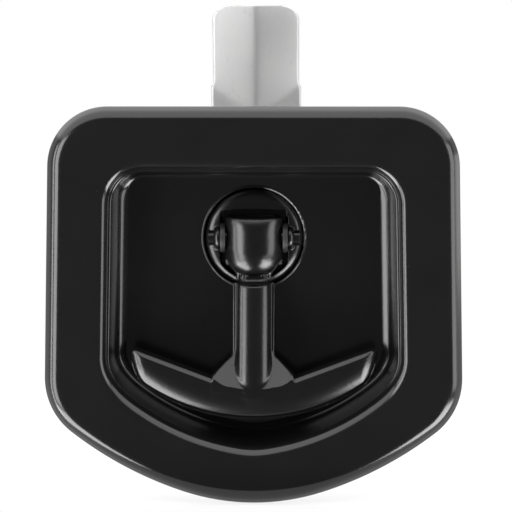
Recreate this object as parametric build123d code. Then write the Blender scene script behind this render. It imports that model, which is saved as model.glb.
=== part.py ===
from build123d import *
import math
import os

# Recessed folding T-handle latch, non-locking, in millimetres.
# X is across the plate, Z is up the plate, and Y runs from the front (negative) to the back.
# The origin is the spindle axis where it crosses the face of the panel that the latch is bolted to.

# Plate and its pocket
SHEET = 1.5
GASKET_THICKNESS = 2.0
FLANGE_SIDE_WIDTH = 15.2
FLANGE_TOP_WIDTH = 15.4
FLANGE_BOTTOM_WIDTH = 14.2
SIDE_LEAN = 1.1
PLATE_TOP_CORNER = 17.5
PLATE_SIDE_CORNER = 20.0
PLATE_NOSE_RADIUS = 65.0
PLATE_NOSE_ANGLE = 18.0
PLATE_FLANK_ANGLE = 38.0
RIM_BEND_RADIUS = 3.0
MOUTH_SIDE_CLEARANCE = 9.5
MOUTH_BOTTOM_CLEARANCE = 8.9
MOUTH_TOP_CORNER = 13.0
MOUTH_SIDE_CORNER = 19.1
MOUTH_NOSE_RADIUS = 30.0
MOUTH_NOSE_ANGLE = 9.0
MOUTH_FLANK_ANGLE = 38.0
MOUTH_BEND_RADIUS = 2.5
POCKET_DEPTH = 16.0
LEDGE_DEPTH = 4.5
LEDGE_WIDTH = 1.5
LEDGE_EDGE_RADIUS = 0.9
LEDGE_ROOT_RADIUS = 0.5
FLOOR_CORNER_RADIUS = 3.0
FLOOR_ABOVE_CUP = 4.3

# Turning parts
ROTOR_RADIUS = 14.2
ROTOR_GAP = 0.9
ROTOR_PROUD = 2.0
ROTOR_EDGE_RADIUS = 1.0
ROTOR_RIM_WIDTH = 1.3
ROTOR_BASE = 2.8
SLOT_HALF_WIDTH = 10.0
SLOT_TOP_CLEARANCE = 0.25
JOURNAL_RADIUS = 8.0
SHANK_ACROSS_FLATS = 10.0
SHANK_CORNER_RADIUS = 6.4
RUNNING_CLEARANCE = 0.05
PRESS_CLEARANCE = 0.02
BUSH_WALL = 2.0
BUSH_FLANGE_RADIUS = 12.8
BUSH_FLANGE_THICKNESS = 1.5
PIN_RADIUS = 2.5
PIN_DEPTH = 1.5
PIN_END_DEPTH = 0.8
PIN_BOSS_RADIUS = 3.75
PIN_BOSS_LENGTH = 1.9
PIN_BOSS_ROUND_SHARE = 0.8
SPACER_RADIUS = 4.4
SPACER_SIDE_GAP = 0.1

# Handle
HANDLE_REACH = 53.6
HEEL_FLAT = 6.1
HEEL_CORNER_RADIUS = 3.6
HEAD_HALF_WIDTH = 8.4
HEAD_FRONT = 6.9
HEAD_TOP_DROP = 2.1
HEAD_BOTTOM = 11.4
HEAD_BOTTOM_RADIUS = 3.0
HEAD_CORNER_RADIUS = 3.4
HEAD_RIM_CLEARANCE = 0.5
HEAD_BARREL_RADIUS = 10.4
NECK_LENGTH = 2.2
NECK_DROP = 1.6
STEM_HALF_WIDTH = 5.1
STEM_EDGE_RADIUS = 3.2
STEM_BASE_HALF_WIDTH = 6.3
STEM_BASE_THICKNESS = 1.6
STEM_TOP_FRONT_Y = 5.2
STEM_FOOT_FRONT_Y = -0.8
BAR_HALF_LENGTH = 36.0
BAR_FRONT_Y = -2.5
BAR_THICKNESS = 7.4
BAR_LOWER_RADIUS = 62.0
BAR_TIP_HEIGHT = 11.2
BAR_UPPER_SLOPE = 20.5
BAR_TIP_LOWER_RADIUS = 5.0
BAR_TIP_UPPER_RADIUS = 2.0
BAR_CROWN_RADIUS = 3.4
WEB_REACH = 6.9
WEB_HEIGHT = 5.8
WEB_FOOT_RADIUS = 2.5

# Detent leaf under the heel
LEAF_THICKNESS = 0.5
LEAF_WIDTH = 12.0
LEAF_BOW = 1.5
LEAF_HALF_SPAN = 6.0
LEAF_TAB = 4.6
LEAF_PLAY = 0.1
RIVET_RADIUS = 1.2
RIVET_HEAD_RADIUS = 2.0
RIVET_HEAD_THICKNESS = 1.0
RIVET_HEAD_ROUND_SHARE = 0.6
RIVET_LENGTH = 2.2

# Stack behind the cup, in order
SEAL_RING_RADIUS = 11.3
SEAL_CORD_RADIUS = 1.2
SEAL_LIFT = 0.05
THRUST_WASHER_RADIUS = 12.6
THRUST_WASHER_THICKNESS = 1.0
STOP_WASHER_RADIUS = 12.6
STOP_WASHER_THICKNESS = 2.0
STOP_LUG_REACH = 16.2
STOP_LUG_HALF_ANGLE = 11.0
STOP_TAB_INNER_RADIUS = 13.6
STOP_TAB_HALF_ANGLE = 7.0
STOP_PLAY_ANGLE = 1.0
TURN_RANGE = 90.0
SPRING_MEAN_RADIUS = 9.4
SPRING_WIRE_RADIUS = 0.9
SPRING_TURNS = 3.5
SPRING_LENGTH = 10.4
SPRING_SEAT_GAP = 0.05
RETAINER_RADIUS = 12.2
RETAINER_THICKNESS = 1.5
SNAP_RING_OUTER_RADIUS = 8.4
SNAP_RING_GROOVE_RADIUS = 5.4
SNAP_RING_THICKNESS = 1.0
SNAP_RING_OPENING_ANGLE = 70.0

# Cam and its screw
CAM_THICKNESS = 4.0
CAM_HUB_RADIUS = 13.8
CAM_NOSE_HALF_WIDTH = 13.2
CAM_REACH = 29.7
CAM_TIP_CORNER = 4.6
CAM_NOSE_LENGTH = 24.0
CAM_BEND_LENGTH = 10.0
CAM_SIDE_FALL = 0.27
CAM_BACK_STEP = 0.2
WASHER_RADIUS = 9.0
WASHER_THICKNESS = 1.5
LOCK_WASHER_RADIUS = 7.0
LOCK_WASHER_THICKNESS = 1.8
LOCK_WASHER_SLIT = 1.0
SCREW_RADIUS = 4.0
SCREW_REACH = 13.0
SCREW_HOLE_SPARE = 1.0
SCREW_TIP_CHAMFER = 0.8
SCREW_HEAD_ACROSS_FLATS = 13.0
SCREW_HEAD_HEIGHT = 5.3
SCREW_HEAD_CHAMFER = 0.9
SCREW_HOLE_CLEARANCE = 0.3

# Studs
STUD_RADIUS = 3.175
STUD_LENGTH = 18.0
STUD_BASE_RADIUS = 4.4
STUD_BASE_THICKNESS = 0.8
STUD_SIDE_DISTANCE = 9.9
STUD_TOP_DISTANCE = 13.4
STUD_TIP_CHAMFER = 0.8
GASKET_INSET = 3.3
GASKET_WALL_CLEARANCE = 0.6
GASKET_STUD_CLEARANCE = 0.4

# Tolerance for finding edges and corners by their place
TOUCH = 0.01

# Places along Y that follow from the sizes above
FLANGE_BACK_Y = -GASKET_THICKNESS
FLANGE_FRONT_Y = FLANGE_BACK_Y - SHEET
LEDGE_FRONT_Y = FLANGE_FRONT_Y + LEDGE_DEPTH
FLOOR_FRONT_Y = FLANGE_FRONT_Y + POCKET_DEPTH
FLOOR_BACK_Y = FLOOR_FRONT_Y + SHEET
ROTOR_FRONT_Y = FLOOR_FRONT_Y - ROTOR_PROUD
PIN_Y = ROTOR_FRONT_Y + PIN_DEPTH
HEEL_BACK_Y = PIN_Y + HEEL_FLAT
SLOT_FLOOR_Y = HEEL_BACK_Y + LEAF_PLAY + LEAF_THICKNESS + LEAF_BOW
CUP_SEAT_Y = SLOT_FLOOR_Y + ROTOR_BASE
CUP_BACK_Y = CUP_SEAT_Y + SHEET
STOP_PLATE_BACK_Y = CUP_BACK_Y + BUSH_FLANGE_THICKNESS
THRUST_BACK_Y = STOP_PLATE_BACK_Y + THRUST_WASHER_THICKNESS
STOP_WASHER_BACK_Y = THRUST_BACK_Y + STOP_WASHER_THICKNESS
SPRING_BACK_Y = STOP_WASHER_BACK_Y + SPRING_LENGTH
RETAINER_BACK_Y = SPRING_BACK_Y + RETAINER_THICKNESS
CAM_FRONT_Y = RETAINER_BACK_Y + SNAP_RING_THICKNESS
CAM_BACK_Y = CAM_FRONT_Y + CAM_THICKNESS
SHANK_END_Y = CAM_BACK_Y - CAM_BACK_STEP
WASHER_BACK_Y = CAM_BACK_Y + WASHER_THICKNESS
LOCK_WASHER_BACK_Y = WASHER_BACK_Y + LOCK_WASHER_THICKNESS
SCREW_HEAD_BACK_Y = LOCK_WASHER_BACK_Y + SCREW_HEAD_HEIGHT

# Radii, widths and heights that follow
CUP_RADIUS = ROTOR_RADIUS + ROTOR_GAP
PIN_LENGTH = 2 * (ROTOR_RADIUS - PIN_END_DEPTH)
BUSH_OUTER_RADIUS = JOURNAL_RADIUS + RUNNING_CLEARANCE + BUSH_WALL
WALL_OFFSET = MOUTH_BEND_RADIUS
INNER_WALL_OFFSET = WALL_OFFSET + LEDGE_WIDTH
MOUTH_HALF_WIDTH = BAR_HALF_LENGTH + MOUTH_SIDE_CLEARANCE
MOUTH_TOP_Z = CUP_RADIUS + FLOOR_ABOVE_CUP + INNER_WALL_OFFSET
MOUTH_BOTTOM_Z = -HANDLE_REACH - MOUTH_BOTTOM_CLEARANCE
PLATE_HALF_WIDTH = MOUTH_HALF_WIDTH + FLANGE_SIDE_WIDTH
PLATE_TOP_Z = MOUTH_TOP_Z + FLANGE_TOP_WIDTH
PLATE_BOTTOM_Z = MOUTH_BOTTOM_Z - FLANGE_BOTTOM_WIDTH
STUD_X = PLATE_HALF_WIDTH - STUD_SIDE_DISTANCE
STUD_Z = PLATE_TOP_Z - STUD_TOP_DISTANCE
CAM_TIP_Z = PLATE_TOP_Z + CAM_REACH
CAM_SHOULDER_Z = CAM_TIP_Z - CAM_NOSE_LENGTH
CAM_RIDGE_START_Z = CAM_SHOULDER_Z - CAM_BEND_LENGTH
BAR_BACK_Y = BAR_FRONT_Y + BAR_THICKNESS
BAR_BOTTOM_Z = -HANDLE_REACH
BAR_TIP_BOTTOM_Z = BAR_BOTTOM_Z + BAR_LOWER_RADIUS - math.sqrt(BAR_LOWER_RADIUS**2 - BAR_HALF_LENGTH**2)
BAR_TIP_TOP_Z = BAR_TIP_BOTTOM_Z + BAR_TIP_HEIGHT
HEAD_FRONT_TOP_Z = HEEL_FLAT - HEAD_TOP_DROP
SLOT_TOP_Z = math.hypot(HEAD_FRONT, HEAD_FRONT_TOP_Z) + SLOT_TOP_CLEARANCE
HEAD_BACK_Y = ROTOR_FRONT_Y - HEAD_RIM_CLEARANCE
STEM_TOP_Z = -HEAD_BOTTOM - NECK_LENGTH
STEM_FOOT_Z = BAR_BOTTOM_Z + BAR_THICKNESS
RIM_INNER_RADIUS = ROTOR_RADIUS - ROTOR_RIM_WIDTH
HEEL_UNDERSIDE_Z = HEAD_RIM_CLEARANCE - math.sqrt(RIM_INNER_RADIUS**2 - HEAD_HALF_WIDTH**2)
RIVET_Z = -LEAF_HALF_SPAN - LEAF_TAB / 2


def along_y(sketch, front_y, back_y):
    """The flat shape, drawn in X and Z, made solid from front_y to back_y."""
    return extrude(Plane.XZ.offset(-back_y) * sketch, amount=back_y - front_y)


def disc(radius, front_y, back_y):
    return along_y(Circle(radius), front_y, back_y)


def ring(outer_radius, inner_radius, front_y, back_y):
    return along_y(Circle(outer_radius) - Circle(inner_radius), front_y, back_y)


def shield(half_width, top_z, bottom_z, top_corner, side_corner, nose_radius, nose_angle, flank_angle):
    """Outline of the plate and its pocket: a straight top, straight sides that lean a little towards
    each other, and tangent arcs below."""
    nose = math.radians(nose_angle)
    flank = math.radians(flank_angle)
    lean = math.radians(SIDE_LEAN)
    nose_x = nose_radius * math.sin(nose)
    nose_z = bottom_z + nose_radius * (1 - math.cos(nose))
    flank_x = half_width - side_corner * (1 - math.sin(flank))
    flank_radius = (flank_x - nose_x) / (math.sin(flank) - math.sin(nose))
    flank_centre = (nose_x - flank_radius * math.sin(nose), nose_z + flank_radius * math.cos(nose))
    corner_x = half_width - side_corner
    corner_z = flank_centre[1] - (flank_radius - side_corner) * math.cos(flank)
    top_corner_z = top_z - top_corner
    narrowing = side_corner - top_corner - (top_corner_z - corner_z) * math.sin(lean)
    top_corner_x = corner_x + narrowing / math.cos(lean)
    side_corner_arc = CenterArc(
        (corner_x, corner_z), side_corner, flank_angle - 90, 90 + SIDE_LEAN - flank_angle
    )
    top_corner_arc = CenterArc((top_corner_x, top_corner_z), top_corner, SIDE_LEAN, 90 - SIDE_LEAN)
    right = [
        CenterArc((0, bottom_z + nose_radius), nose_radius, -90, nose_angle),
        CenterArc(flank_centre, flank_radius, nose_angle - 90, flank_angle - nose_angle),
        side_corner_arc,
        Line(side_corner_arc @ 1, top_corner_arc @ 0),
        top_corner_arc,
        Line((top_corner_x, top_z), (0, top_z)),
    ]
    half = Curve() + right
    return make_face(half + mirror(half, about=Plane.YZ))


def plate_outline():
    return shield(
        PLATE_HALF_WIDTH,
        PLATE_TOP_Z,
        PLATE_BOTTOM_Z,
        PLATE_TOP_CORNER,
        PLATE_SIDE_CORNER,
        PLATE_NOSE_RADIUS,
        PLATE_NOSE_ANGLE,
        PLATE_FLANK_ANGLE,
    )


def mouth_outline(inset):
    mouth = shield(
        MOUTH_HALF_WIDTH,
        MOUTH_TOP_Z,
        MOUTH_BOTTOM_Z,
        MOUTH_TOP_CORNER,
        MOUTH_SIDE_CORNER,
        MOUTH_NOSE_RADIUS,
        MOUTH_NOSE_ANGLE,
        MOUTH_FLANK_ANGLE,
    )
    return offset(mouth, amount=-inset)


def edges_at(solid, y):
    """The edges that lie flat at this Y."""
    return solid.edges().filter_by_position(Axis.Y, y - TOUCH, y + TOUCH)


def edges_within(solid, y, outline):
    """The edges that lie flat at this Y and don't reach outside the box of the outline."""
    limit = outline.bounding_box()

    def is_within(edge):
        box = edge.bounding_box()
        across = box.min.X > limit.min.X - TOUCH and box.max.X < limit.max.X + TOUCH
        return across and box.min.Z > limit.min.Y - TOUCH and box.max.Z < limit.max.Y + TOUCH

    return [edge for edge in edges_at(solid, y) if is_within(edge)]


def corners_at(sketch, x, z):
    """The corners of a flat shape at this height and at x on both sides."""
    return [v for v in sketch.vertices() if abs(abs(v.X) - x) < TOUCH and abs(v.Y - z) < TOUCH]


def make_pan():
    """One stamping: flange with a bent rim, pocket with a ledge in its wall, and a drawn cup."""
    outer = along_y(plate_outline(), FLANGE_FRONT_Y, 0)
    outer = fillet(edges_at(outer, FLANGE_FRONT_Y), RIM_BEND_RADIUS)
    under = along_y(offset(plate_outline(), amount=-SHEET), FLANGE_BACK_Y, 0)
    under = fillet(edges_at(under, FLANGE_BACK_Y), RIM_BEND_RADIUS - SHEET)
    flange = outer - under

    tub = along_y(mouth_outline(WALL_OFFSET - SHEET), FLANGE_BACK_Y, LEDGE_FRONT_Y + SHEET)
    tub += along_y(mouth_outline(INNER_WALL_OFFSET - SHEET), LEDGE_FRONT_Y, FLOOR_BACK_Y)
    tub = fillet(edges_at(tub, FLOOR_BACK_Y), FLOOR_CORNER_RADIUS + SHEET)
    tub += disc(CUP_RADIUS + SHEET, FLOOR_FRONT_Y, CUP_BACK_Y)

    hollow = along_y(mouth_outline(WALL_OFFSET), FLANGE_FRONT_Y, LEDGE_FRONT_Y)
    hollow = fillet(edges_at(hollow, LEDGE_FRONT_Y), LEDGE_ROOT_RADIUS)
    deep = along_y(mouth_outline(INNER_WALL_OFFSET), LEDGE_FRONT_Y - SHEET, FLOOR_FRONT_Y)
    deep = fillet(edges_at(deep, FLOOR_FRONT_Y), FLOOR_CORNER_RADIUS)
    hollow += deep
    pan = flange + tub - hollow
    pan = fillet(edges_within(pan, FLANGE_FRONT_Y, mouth_outline(WALL_OFFSET)), MOUTH_BEND_RADIUS)
    pan = fillet(edges_within(pan, LEDGE_FRONT_Y, mouth_outline(INNER_WALL_OFFSET)), LEDGE_EDGE_RADIUS)
    pan -= disc(CUP_RADIUS, FLOOR_FRONT_Y - SHEET, CUP_SEAT_Y)
    pan -= disc(BUSH_OUTER_RADIUS + PRESS_CLEARANCE, CUP_SEAT_Y - SHEET, CUP_BACK_Y + SHEET)
    return pan


def stud_places():
    return [(x, z) for x in (-STUD_X, STUD_X) for z in (-STUD_Z, STUD_Z)]


def make_gasket():
    """Flat rubber ring under the flange, inside the bent rim, with a hole for each stud."""
    outline = offset(plate_outline(), amount=-GASKET_INSET)
    outline -= mouth_outline(WALL_OFFSET - SHEET - GASKET_WALL_CLEARANCE)
    for x, z in stud_places():
        outline -= Pos(x, z) * Circle(STUD_BASE_RADIUS + GASKET_STUD_CLEARANCE)
    return along_y(outline, FLANGE_BACK_Y, 0)


def make_weld_studs():
    """Four studs, each with the small base that is welded to the back of the flange."""
    tip_y = FLANGE_BACK_Y + STUD_LENGTH
    stud = disc(STUD_RADIUS, FLANGE_BACK_Y, tip_y)
    stud = chamfer(edges_at(stud, tip_y), STUD_TIP_CHAMFER)
    stud += disc(STUD_BASE_RADIUS, FLANGE_BACK_Y, FLANGE_BACK_Y + STUD_BASE_THICKNESS)
    return Compound([Pos(x, 0, z) * stud for x, z in stud_places()])


def make_bearing_bush():
    """Flanged sleeve pressed into the hole in the cup, which the rotor's journal turns in."""
    bore = JOURNAL_RADIUS + RUNNING_CLEARANCE
    sleeve = ring(BUSH_OUTER_RADIUS, bore, CUP_SEAT_Y, STOP_PLATE_BACK_Y)
    return sleeve + ring(BUSH_FLANGE_RADIUS, bore, CUP_BACK_Y, STOP_PLATE_BACK_Y)


def sector(inner_radius, outer_radius, middle_angle, half_angle):
    """Flat piece of a ring about the spindle, where angle 0 points along +Z and grows towards +X."""
    start = math.radians(middle_angle - half_angle)
    middle = math.radians(middle_angle)
    end = math.radians(middle_angle + half_angle)

    def at(radius, angle):
        return (radius * math.sin(angle), radius * math.cos(angle))

    outline = Curve() + [
        ThreePointArc(at(outer_radius, start), at(outer_radius, middle), at(outer_radius, end)),
        Line(at(outer_radius, end), at(inner_radius, end)),
        ThreePointArc(at(inner_radius, end), at(inner_radius, middle), at(inner_radius, start)),
        Line(at(inner_radius, start), at(outer_radius, start)),
    ]
    return make_face(outline)


def make_stop_plate():
    """Ring spot-welded to the back of the cup, with two tabs that stop the lug of the stop washer."""
    cup_outer = CUP_RADIUS + SHEET
    plate = ring(cup_outer, BUSH_FLANGE_RADIUS + RUNNING_CLEARANCE, CUP_BACK_Y, STOP_PLATE_BACK_Y)
    reach = STOP_LUG_HALF_ANGLE + STOP_TAB_HALF_ANGLE + STOP_PLAY_ANGLE
    for angle in (-reach, TURN_RANGE + reach):
        tab = sector(STOP_TAB_INNER_RADIUS, cup_outer, angle, STOP_TAB_HALF_ANGLE)
        plate += along_y(tab, STOP_PLATE_BACK_Y, STOP_WASHER_BACK_Y)
    return plate


def shank_section(clearance):
    """Square with its corners turned round."""
    side = SHANK_ACROSS_FLATS + 2 * clearance
    return Rectangle(side, side) & Circle(SHANK_CORNER_RADIUS + clearance)


def make_rotor():
    """Turret with a slot between two cheeks, a round journal and a square shank, cast in one."""
    turret = disc(ROTOR_RADIUS, ROTOR_FRONT_Y, CUP_SEAT_Y)
    turret = fillet(edges_at(turret, ROTOR_FRONT_Y), ROTOR_EDGE_RADIUS)
    slot_height = SLOT_TOP_Z + ROTOR_RADIUS
    slot = Pos(0, SLOT_TOP_Z - slot_height / 2) * Rectangle(2 * SLOT_HALF_WIDTH, slot_height)
    turret -= along_y(slot & Circle(RIM_INNER_RADIUS), ROTOR_FRONT_Y, SLOT_FLOOR_Y)

    boss_outer = SLOT_HALF_WIDTH + PIN_BOSS_LENGTH
    boss = extrude(Plane.YZ * (Pos(PIN_Y, 0) * Circle(PIN_BOSS_RADIUS)), amount=boss_outer, both=True)
    boss = fillet(boss.edges().filter_by(GeomType.CIRCLE), PIN_BOSS_LENGTH * PIN_BOSS_ROUND_SHARE)
    gap = 2 * SLOT_HALF_WIDTH
    boss -= Pos(0, PIN_Y, 0) * Box(gap, 2 * PIN_BOSS_RADIUS, 2 * PIN_BOSS_RADIUS)
    turret += boss & disc(RIM_INNER_RADIUS, PIN_Y - PIN_BOSS_RADIUS, CUP_SEAT_Y)

    groove_half_width = SEAL_CORD_RADIUS + RUNNING_CLEARANCE
    groove_depth = 2 * SEAL_CORD_RADIUS + SEAL_LIFT
    outer_groove = SEAL_RING_RADIUS + groove_half_width
    inner_groove = SEAL_RING_RADIUS - groove_half_width
    turret -= ring(outer_groove, inner_groove, CUP_SEAT_Y - groove_depth, CUP_SEAT_Y)

    rotor = turret + disc(JOURNAL_RADIUS, CUP_SEAT_Y, THRUST_BACK_Y)
    shank = along_y(shank_section(0), THRUST_BACK_Y, SHANK_END_Y)
    shank -= ring(SHANK_ACROSS_FLATS, SNAP_RING_GROOVE_RADIUS, RETAINER_BACK_Y, CAM_FRONT_Y)
    rotor += shank
    rotor -= pin_solid(PRESS_CLEARANCE, PIN_LENGTH)
    rotor -= rivet_shank(PRESS_CLEARANCE)
    hole_end_y = SHANK_END_Y - SCREW_REACH - SCREW_HOLE_SPARE
    rotor -= disc(SCREW_RADIUS + RUNNING_CLEARANCE, hole_end_y, SHANK_END_Y)
    return rotor


def pin_solid(clearance, length):
    """Round bar along X through the handle and both cheeks."""
    section = Pos(PIN_Y, 0) * Circle(PIN_RADIUS + clearance)
    return extrude(Plane.YZ * section, amount=length / 2, both=True)


def make_handle_pin():
    return pin_solid(0, PIN_LENGTH)


def make_pivot_spacers():
    """Two plain washers on the pin that centre the handle between the cheeks."""
    inner_x = HEAD_HALF_WIDTH + SPACER_SIDE_GAP
    outer_x = SLOT_HALF_WIDTH - SPACER_SIDE_GAP
    section = Pos(PIN_Y, 0) * (Circle(SPACER_RADIUS) - Circle(PIN_RADIUS + RUNNING_CLEARANCE))
    right = Pos(inner_x, 0, 0) * extrude(Plane.YZ * section, amount=outer_x - inner_x)
    return Compound([right, mirror(right, about=Plane.YZ)])


def head_side():
    """Side view of the head in Y and Z: the square heel round the pin and the front of the head."""
    top = HEEL_FLAT
    front = PIN_Y - HEAD_FRONT
    underside = Polyline(
        (HEEL_BACK_Y, top - HEEL_CORNER_RADIUS),
        (HEEL_BACK_Y, -HEEL_FLAT),
        (PIN_Y, HEEL_UNDERSIDE_Z),
        (HEAD_BACK_Y, HEEL_UNDERSIDE_Z),
        (HEAD_BACK_Y, -HEAD_BOTTOM),
        (front + HEAD_BOTTOM_RADIUS, -HEAD_BOTTOM),
    )
    outline = Curve() + [
        underside,
        CenterArc(
            (front + HEAD_BOTTOM_RADIUS, HEAD_BOTTOM_RADIUS - HEAD_BOTTOM), HEAD_BOTTOM_RADIUS, 180, 90
        ),
        Polyline(
            (front, HEAD_BOTTOM_RADIUS - HEAD_BOTTOM),
            (front, HEAD_FRONT_TOP_Z),
            (ROTOR_FRONT_Y, top),
            (HEEL_BACK_Y - HEEL_CORNER_RADIUS, top),
        ),
        CenterArc(
            (HEEL_BACK_Y - HEEL_CORNER_RADIUS, top - HEEL_CORNER_RADIUS), HEEL_CORNER_RADIUS, 0, 90
        ),
    ]
    return make_face(outline)


def make_handle():
    """Cast anchor-shaped handle: heel and barrel head, neck, stem, webs and swept bar."""
    handle = make_head() + make_neck() + make_stem() + make_bar()
    return handle - pin_solid(RUNNING_CLEARANCE, PIN_LENGTH)


def make_head():
    """The side view across the width of the head, with a barrel front and round lower corners."""
    head = extrude(Plane.YZ * head_side(), amount=HEAD_HALF_WIDTH, both=True)
    height = HEEL_FLAT + HEAD_BOTTOM
    middle_y = PIN_Y - HEAD_FRONT + HEAD_BARREL_RADIUS
    barrel = Pos(0, middle_y) * Circle(HEAD_BARREL_RADIUS)
    barrel += Pos(0, HEEL_BACK_Y) * Rectangle(2 * HEAD_HALF_WIDTH, 2 * (HEEL_BACK_Y - middle_y))
    head &= extrude(barrel, amount=height, both=True)
    front = Pos(0, (HEEL_FLAT - HEAD_BOTTOM) / 2) * Rectangle(2 * HEAD_HALF_WIDTH, height)
    front = fillet(corners_at(front, HEAD_HALF_WIDTH, -HEAD_BOTTOM), HEAD_CORNER_RADIUS)
    return head & along_y(front, PIN_Y - HEAD_FRONT, HEEL_BACK_Y)


def make_neck():
    """Short waist between the head and the stem, set back from both."""
    length = NECK_LENGTH + 2 * HEAD_BOTTOM_RADIUS
    waist = Pos(0, STEM_TOP_Z - HEAD_BOTTOM_RADIUS + length / 2) * Rectangle(2 * STEM_HALF_WIDTH, length)
    return along_y(waist, STEM_TOP_FRONT_Y + NECK_DROP, HEAD_BACK_Y)


def stem_section(z, front_y, back_y):
    """Section of the stem at this height: a body with round front edges on a wider flat base."""
    body = Pos(0, (front_y + back_y) / 2) * Rectangle(2 * STEM_HALF_WIDTH, back_y - front_y)
    body = fillet(corners_at(body, STEM_HALF_WIDTH, front_y), STEM_EDGE_RADIUS)
    base = Rectangle(2 * STEM_BASE_HALF_WIDTH, STEM_BASE_THICKNESS)
    return Plane.XY.offset(z) * (body + Pos(0, back_y - STEM_BASE_THICKNESS / 2) * base)


def make_stem():
    top = stem_section(STEM_TOP_Z, STEM_TOP_FRONT_Y, HEAD_BACK_Y)
    foot = stem_section(STEM_FOOT_Z, STEM_FOOT_FRONT_Y, BAR_BACK_Y)
    return loft([top.face(), foot.face()])


def make_bar():
    """The bar seen from the front: a lower arc, straight sloping upper edges and webs to the stem."""
    slope = math.tan(math.radians(BAR_UPPER_SLOPE))
    web_foot_x = STEM_HALF_WIDTH + WEB_REACH
    web_foot_z = BAR_TIP_TOP_Z - (BAR_HALF_LENGTH - web_foot_x) * slope
    end_x = BAR_HALF_LENGTH
    outline = Curve() + [
        ThreePointArc((-end_x, BAR_TIP_BOTTOM_Z), (0, BAR_BOTTOM_Z), (end_x, BAR_TIP_BOTTOM_Z)),
        Polyline(
            (end_x, BAR_TIP_BOTTOM_Z),
            (end_x, BAR_TIP_TOP_Z),
            (web_foot_x, web_foot_z),
            (STEM_HALF_WIDTH, web_foot_z + WEB_HEIGHT),
            (-STEM_HALF_WIDTH, web_foot_z + WEB_HEIGHT),
            (-web_foot_x, web_foot_z),
            (-end_x, BAR_TIP_TOP_Z),
            (-end_x, BAR_TIP_BOTTOM_Z),
        ),
    ]
    face = Sketch() + make_face(outline)
    face = fillet(corners_at(face, BAR_HALF_LENGTH, BAR_TIP_BOTTOM_Z), BAR_TIP_LOWER_RADIUS)
    face = fillet(corners_at(face, BAR_HALF_LENGTH, BAR_TIP_TOP_Z), BAR_TIP_UPPER_RADIUS)
    face = fillet(corners_at(face, web_foot_x, web_foot_z), WEB_FOOT_RADIUS)
    bar = along_y(face, BAR_FRONT_Y, BAR_BACK_Y)
    return fillet(edges_at(bar, BAR_FRONT_Y), BAR_CROWN_RADIUS)


def make_detent_leaf():
    """Bowed strip on the slot floor that presses on the flats of the heel."""
    floor = SLOT_FLOOR_Y
    bow_y = floor - LEAF_BOW - LEAF_THICKNESS
    ends_z = LEAF_HALF_SPAN
    tab_z = -LEAF_HALF_SPAN - LEAF_TAB
    front = Curve() + [
        ThreePointArc((floor - LEAF_THICKNESS, ends_z), (bow_y, 0), (floor - LEAF_THICKNESS, -ends_z)),
        Line((floor - LEAF_THICKNESS, -ends_z), (floor - LEAF_THICKNESS, tab_z)),
        Line((floor - LEAF_THICKNESS, tab_z), (floor, tab_z)),
        Line((floor, tab_z), (floor, -ends_z)),
        ThreePointArc((floor, -ends_z), (bow_y + LEAF_THICKNESS, 0), (floor, ends_z)),
        Line((floor, ends_z), (floor - LEAF_THICKNESS, ends_z)),
    ]
    leaf = extrude(Plane.YZ * make_face(front), amount=LEAF_WIDTH / 2, both=True)
    hole = disc(RIVET_RADIUS + RUNNING_CLEARANCE, floor - 2 * LEAF_THICKNESS, floor + LEAF_THICKNESS)
    return leaf - Pos(0, 0, RIVET_Z) * hole


def rivet_shank(clearance):
    """The rivet's shank below the leaf, in the rotor."""
    shank = disc(RIVET_RADIUS + clearance, SLOT_FLOOR_Y - LEAF_THICKNESS, SLOT_FLOOR_Y + RIVET_LENGTH)
    return Pos(0, 0, RIVET_Z) * shank


def make_leaf_rivet():
    head_back_y = SLOT_FLOOR_Y - LEAF_THICKNESS
    head = disc(RIVET_HEAD_RADIUS, head_back_y - RIVET_HEAD_THICKNESS, head_back_y)
    rounding = RIVET_HEAD_THICKNESS * RIVET_HEAD_ROUND_SHARE
    head = fillet(edges_at(head, head_back_y - RIVET_HEAD_THICKNESS), rounding)
    return rivet_shank(0) + Pos(0, 0, RIVET_Z) * head


def make_rotor_seal():
    """Round rubber ring in the groove in the back of the rotor."""
    y = CUP_SEAT_Y - SEAL_LIFT - SEAL_CORD_RADIUS
    return Pos(0, y, 0) * Rot(90, 0, 0) * Torus(SEAL_RING_RADIUS, SEAL_CORD_RADIUS)


def make_thrust_washer():
    bore = JOURNAL_RADIUS + RUNNING_CLEARANCE
    return ring(THRUST_WASHER_RADIUS, bore, STOP_PLATE_BACK_Y, THRUST_BACK_Y)


def make_stop_washer():
    """Washer that the square shank drives, with the lug that meets the tabs of the stop plate."""
    shape = Circle(STOP_WASHER_RADIUS) + sector(JOURNAL_RADIUS, STOP_LUG_REACH, 0, STOP_LUG_HALF_ANGLE)
    return along_y(shape - shank_section(RUNNING_CLEARANCE), THRUST_BACK_Y, STOP_WASHER_BACK_Y)


def helix_point(turn):
    """Point and direction on the spring's centre line after so many turns."""
    front_y = STOP_WASHER_BACK_Y + SPRING_SEAT_GAP + SPRING_WIRE_RADIUS
    rise = SPRING_LENGTH - 2 * (SPRING_SEAT_GAP + SPRING_WIRE_RADIUS)
    pitch = rise / SPRING_TURNS
    angle = 2 * math.pi * turn
    across = SPRING_MEAN_RADIUS * math.sin(angle)
    up = SPRING_MEAN_RADIUS * math.cos(angle)
    place = Vector(across, front_y + pitch * turn, up)
    ahead = Vector(math.cos(angle), pitch / (2 * math.pi * SPRING_MEAN_RADIUS), -math.sin(angle))
    return place, ahead.normalized()


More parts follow.
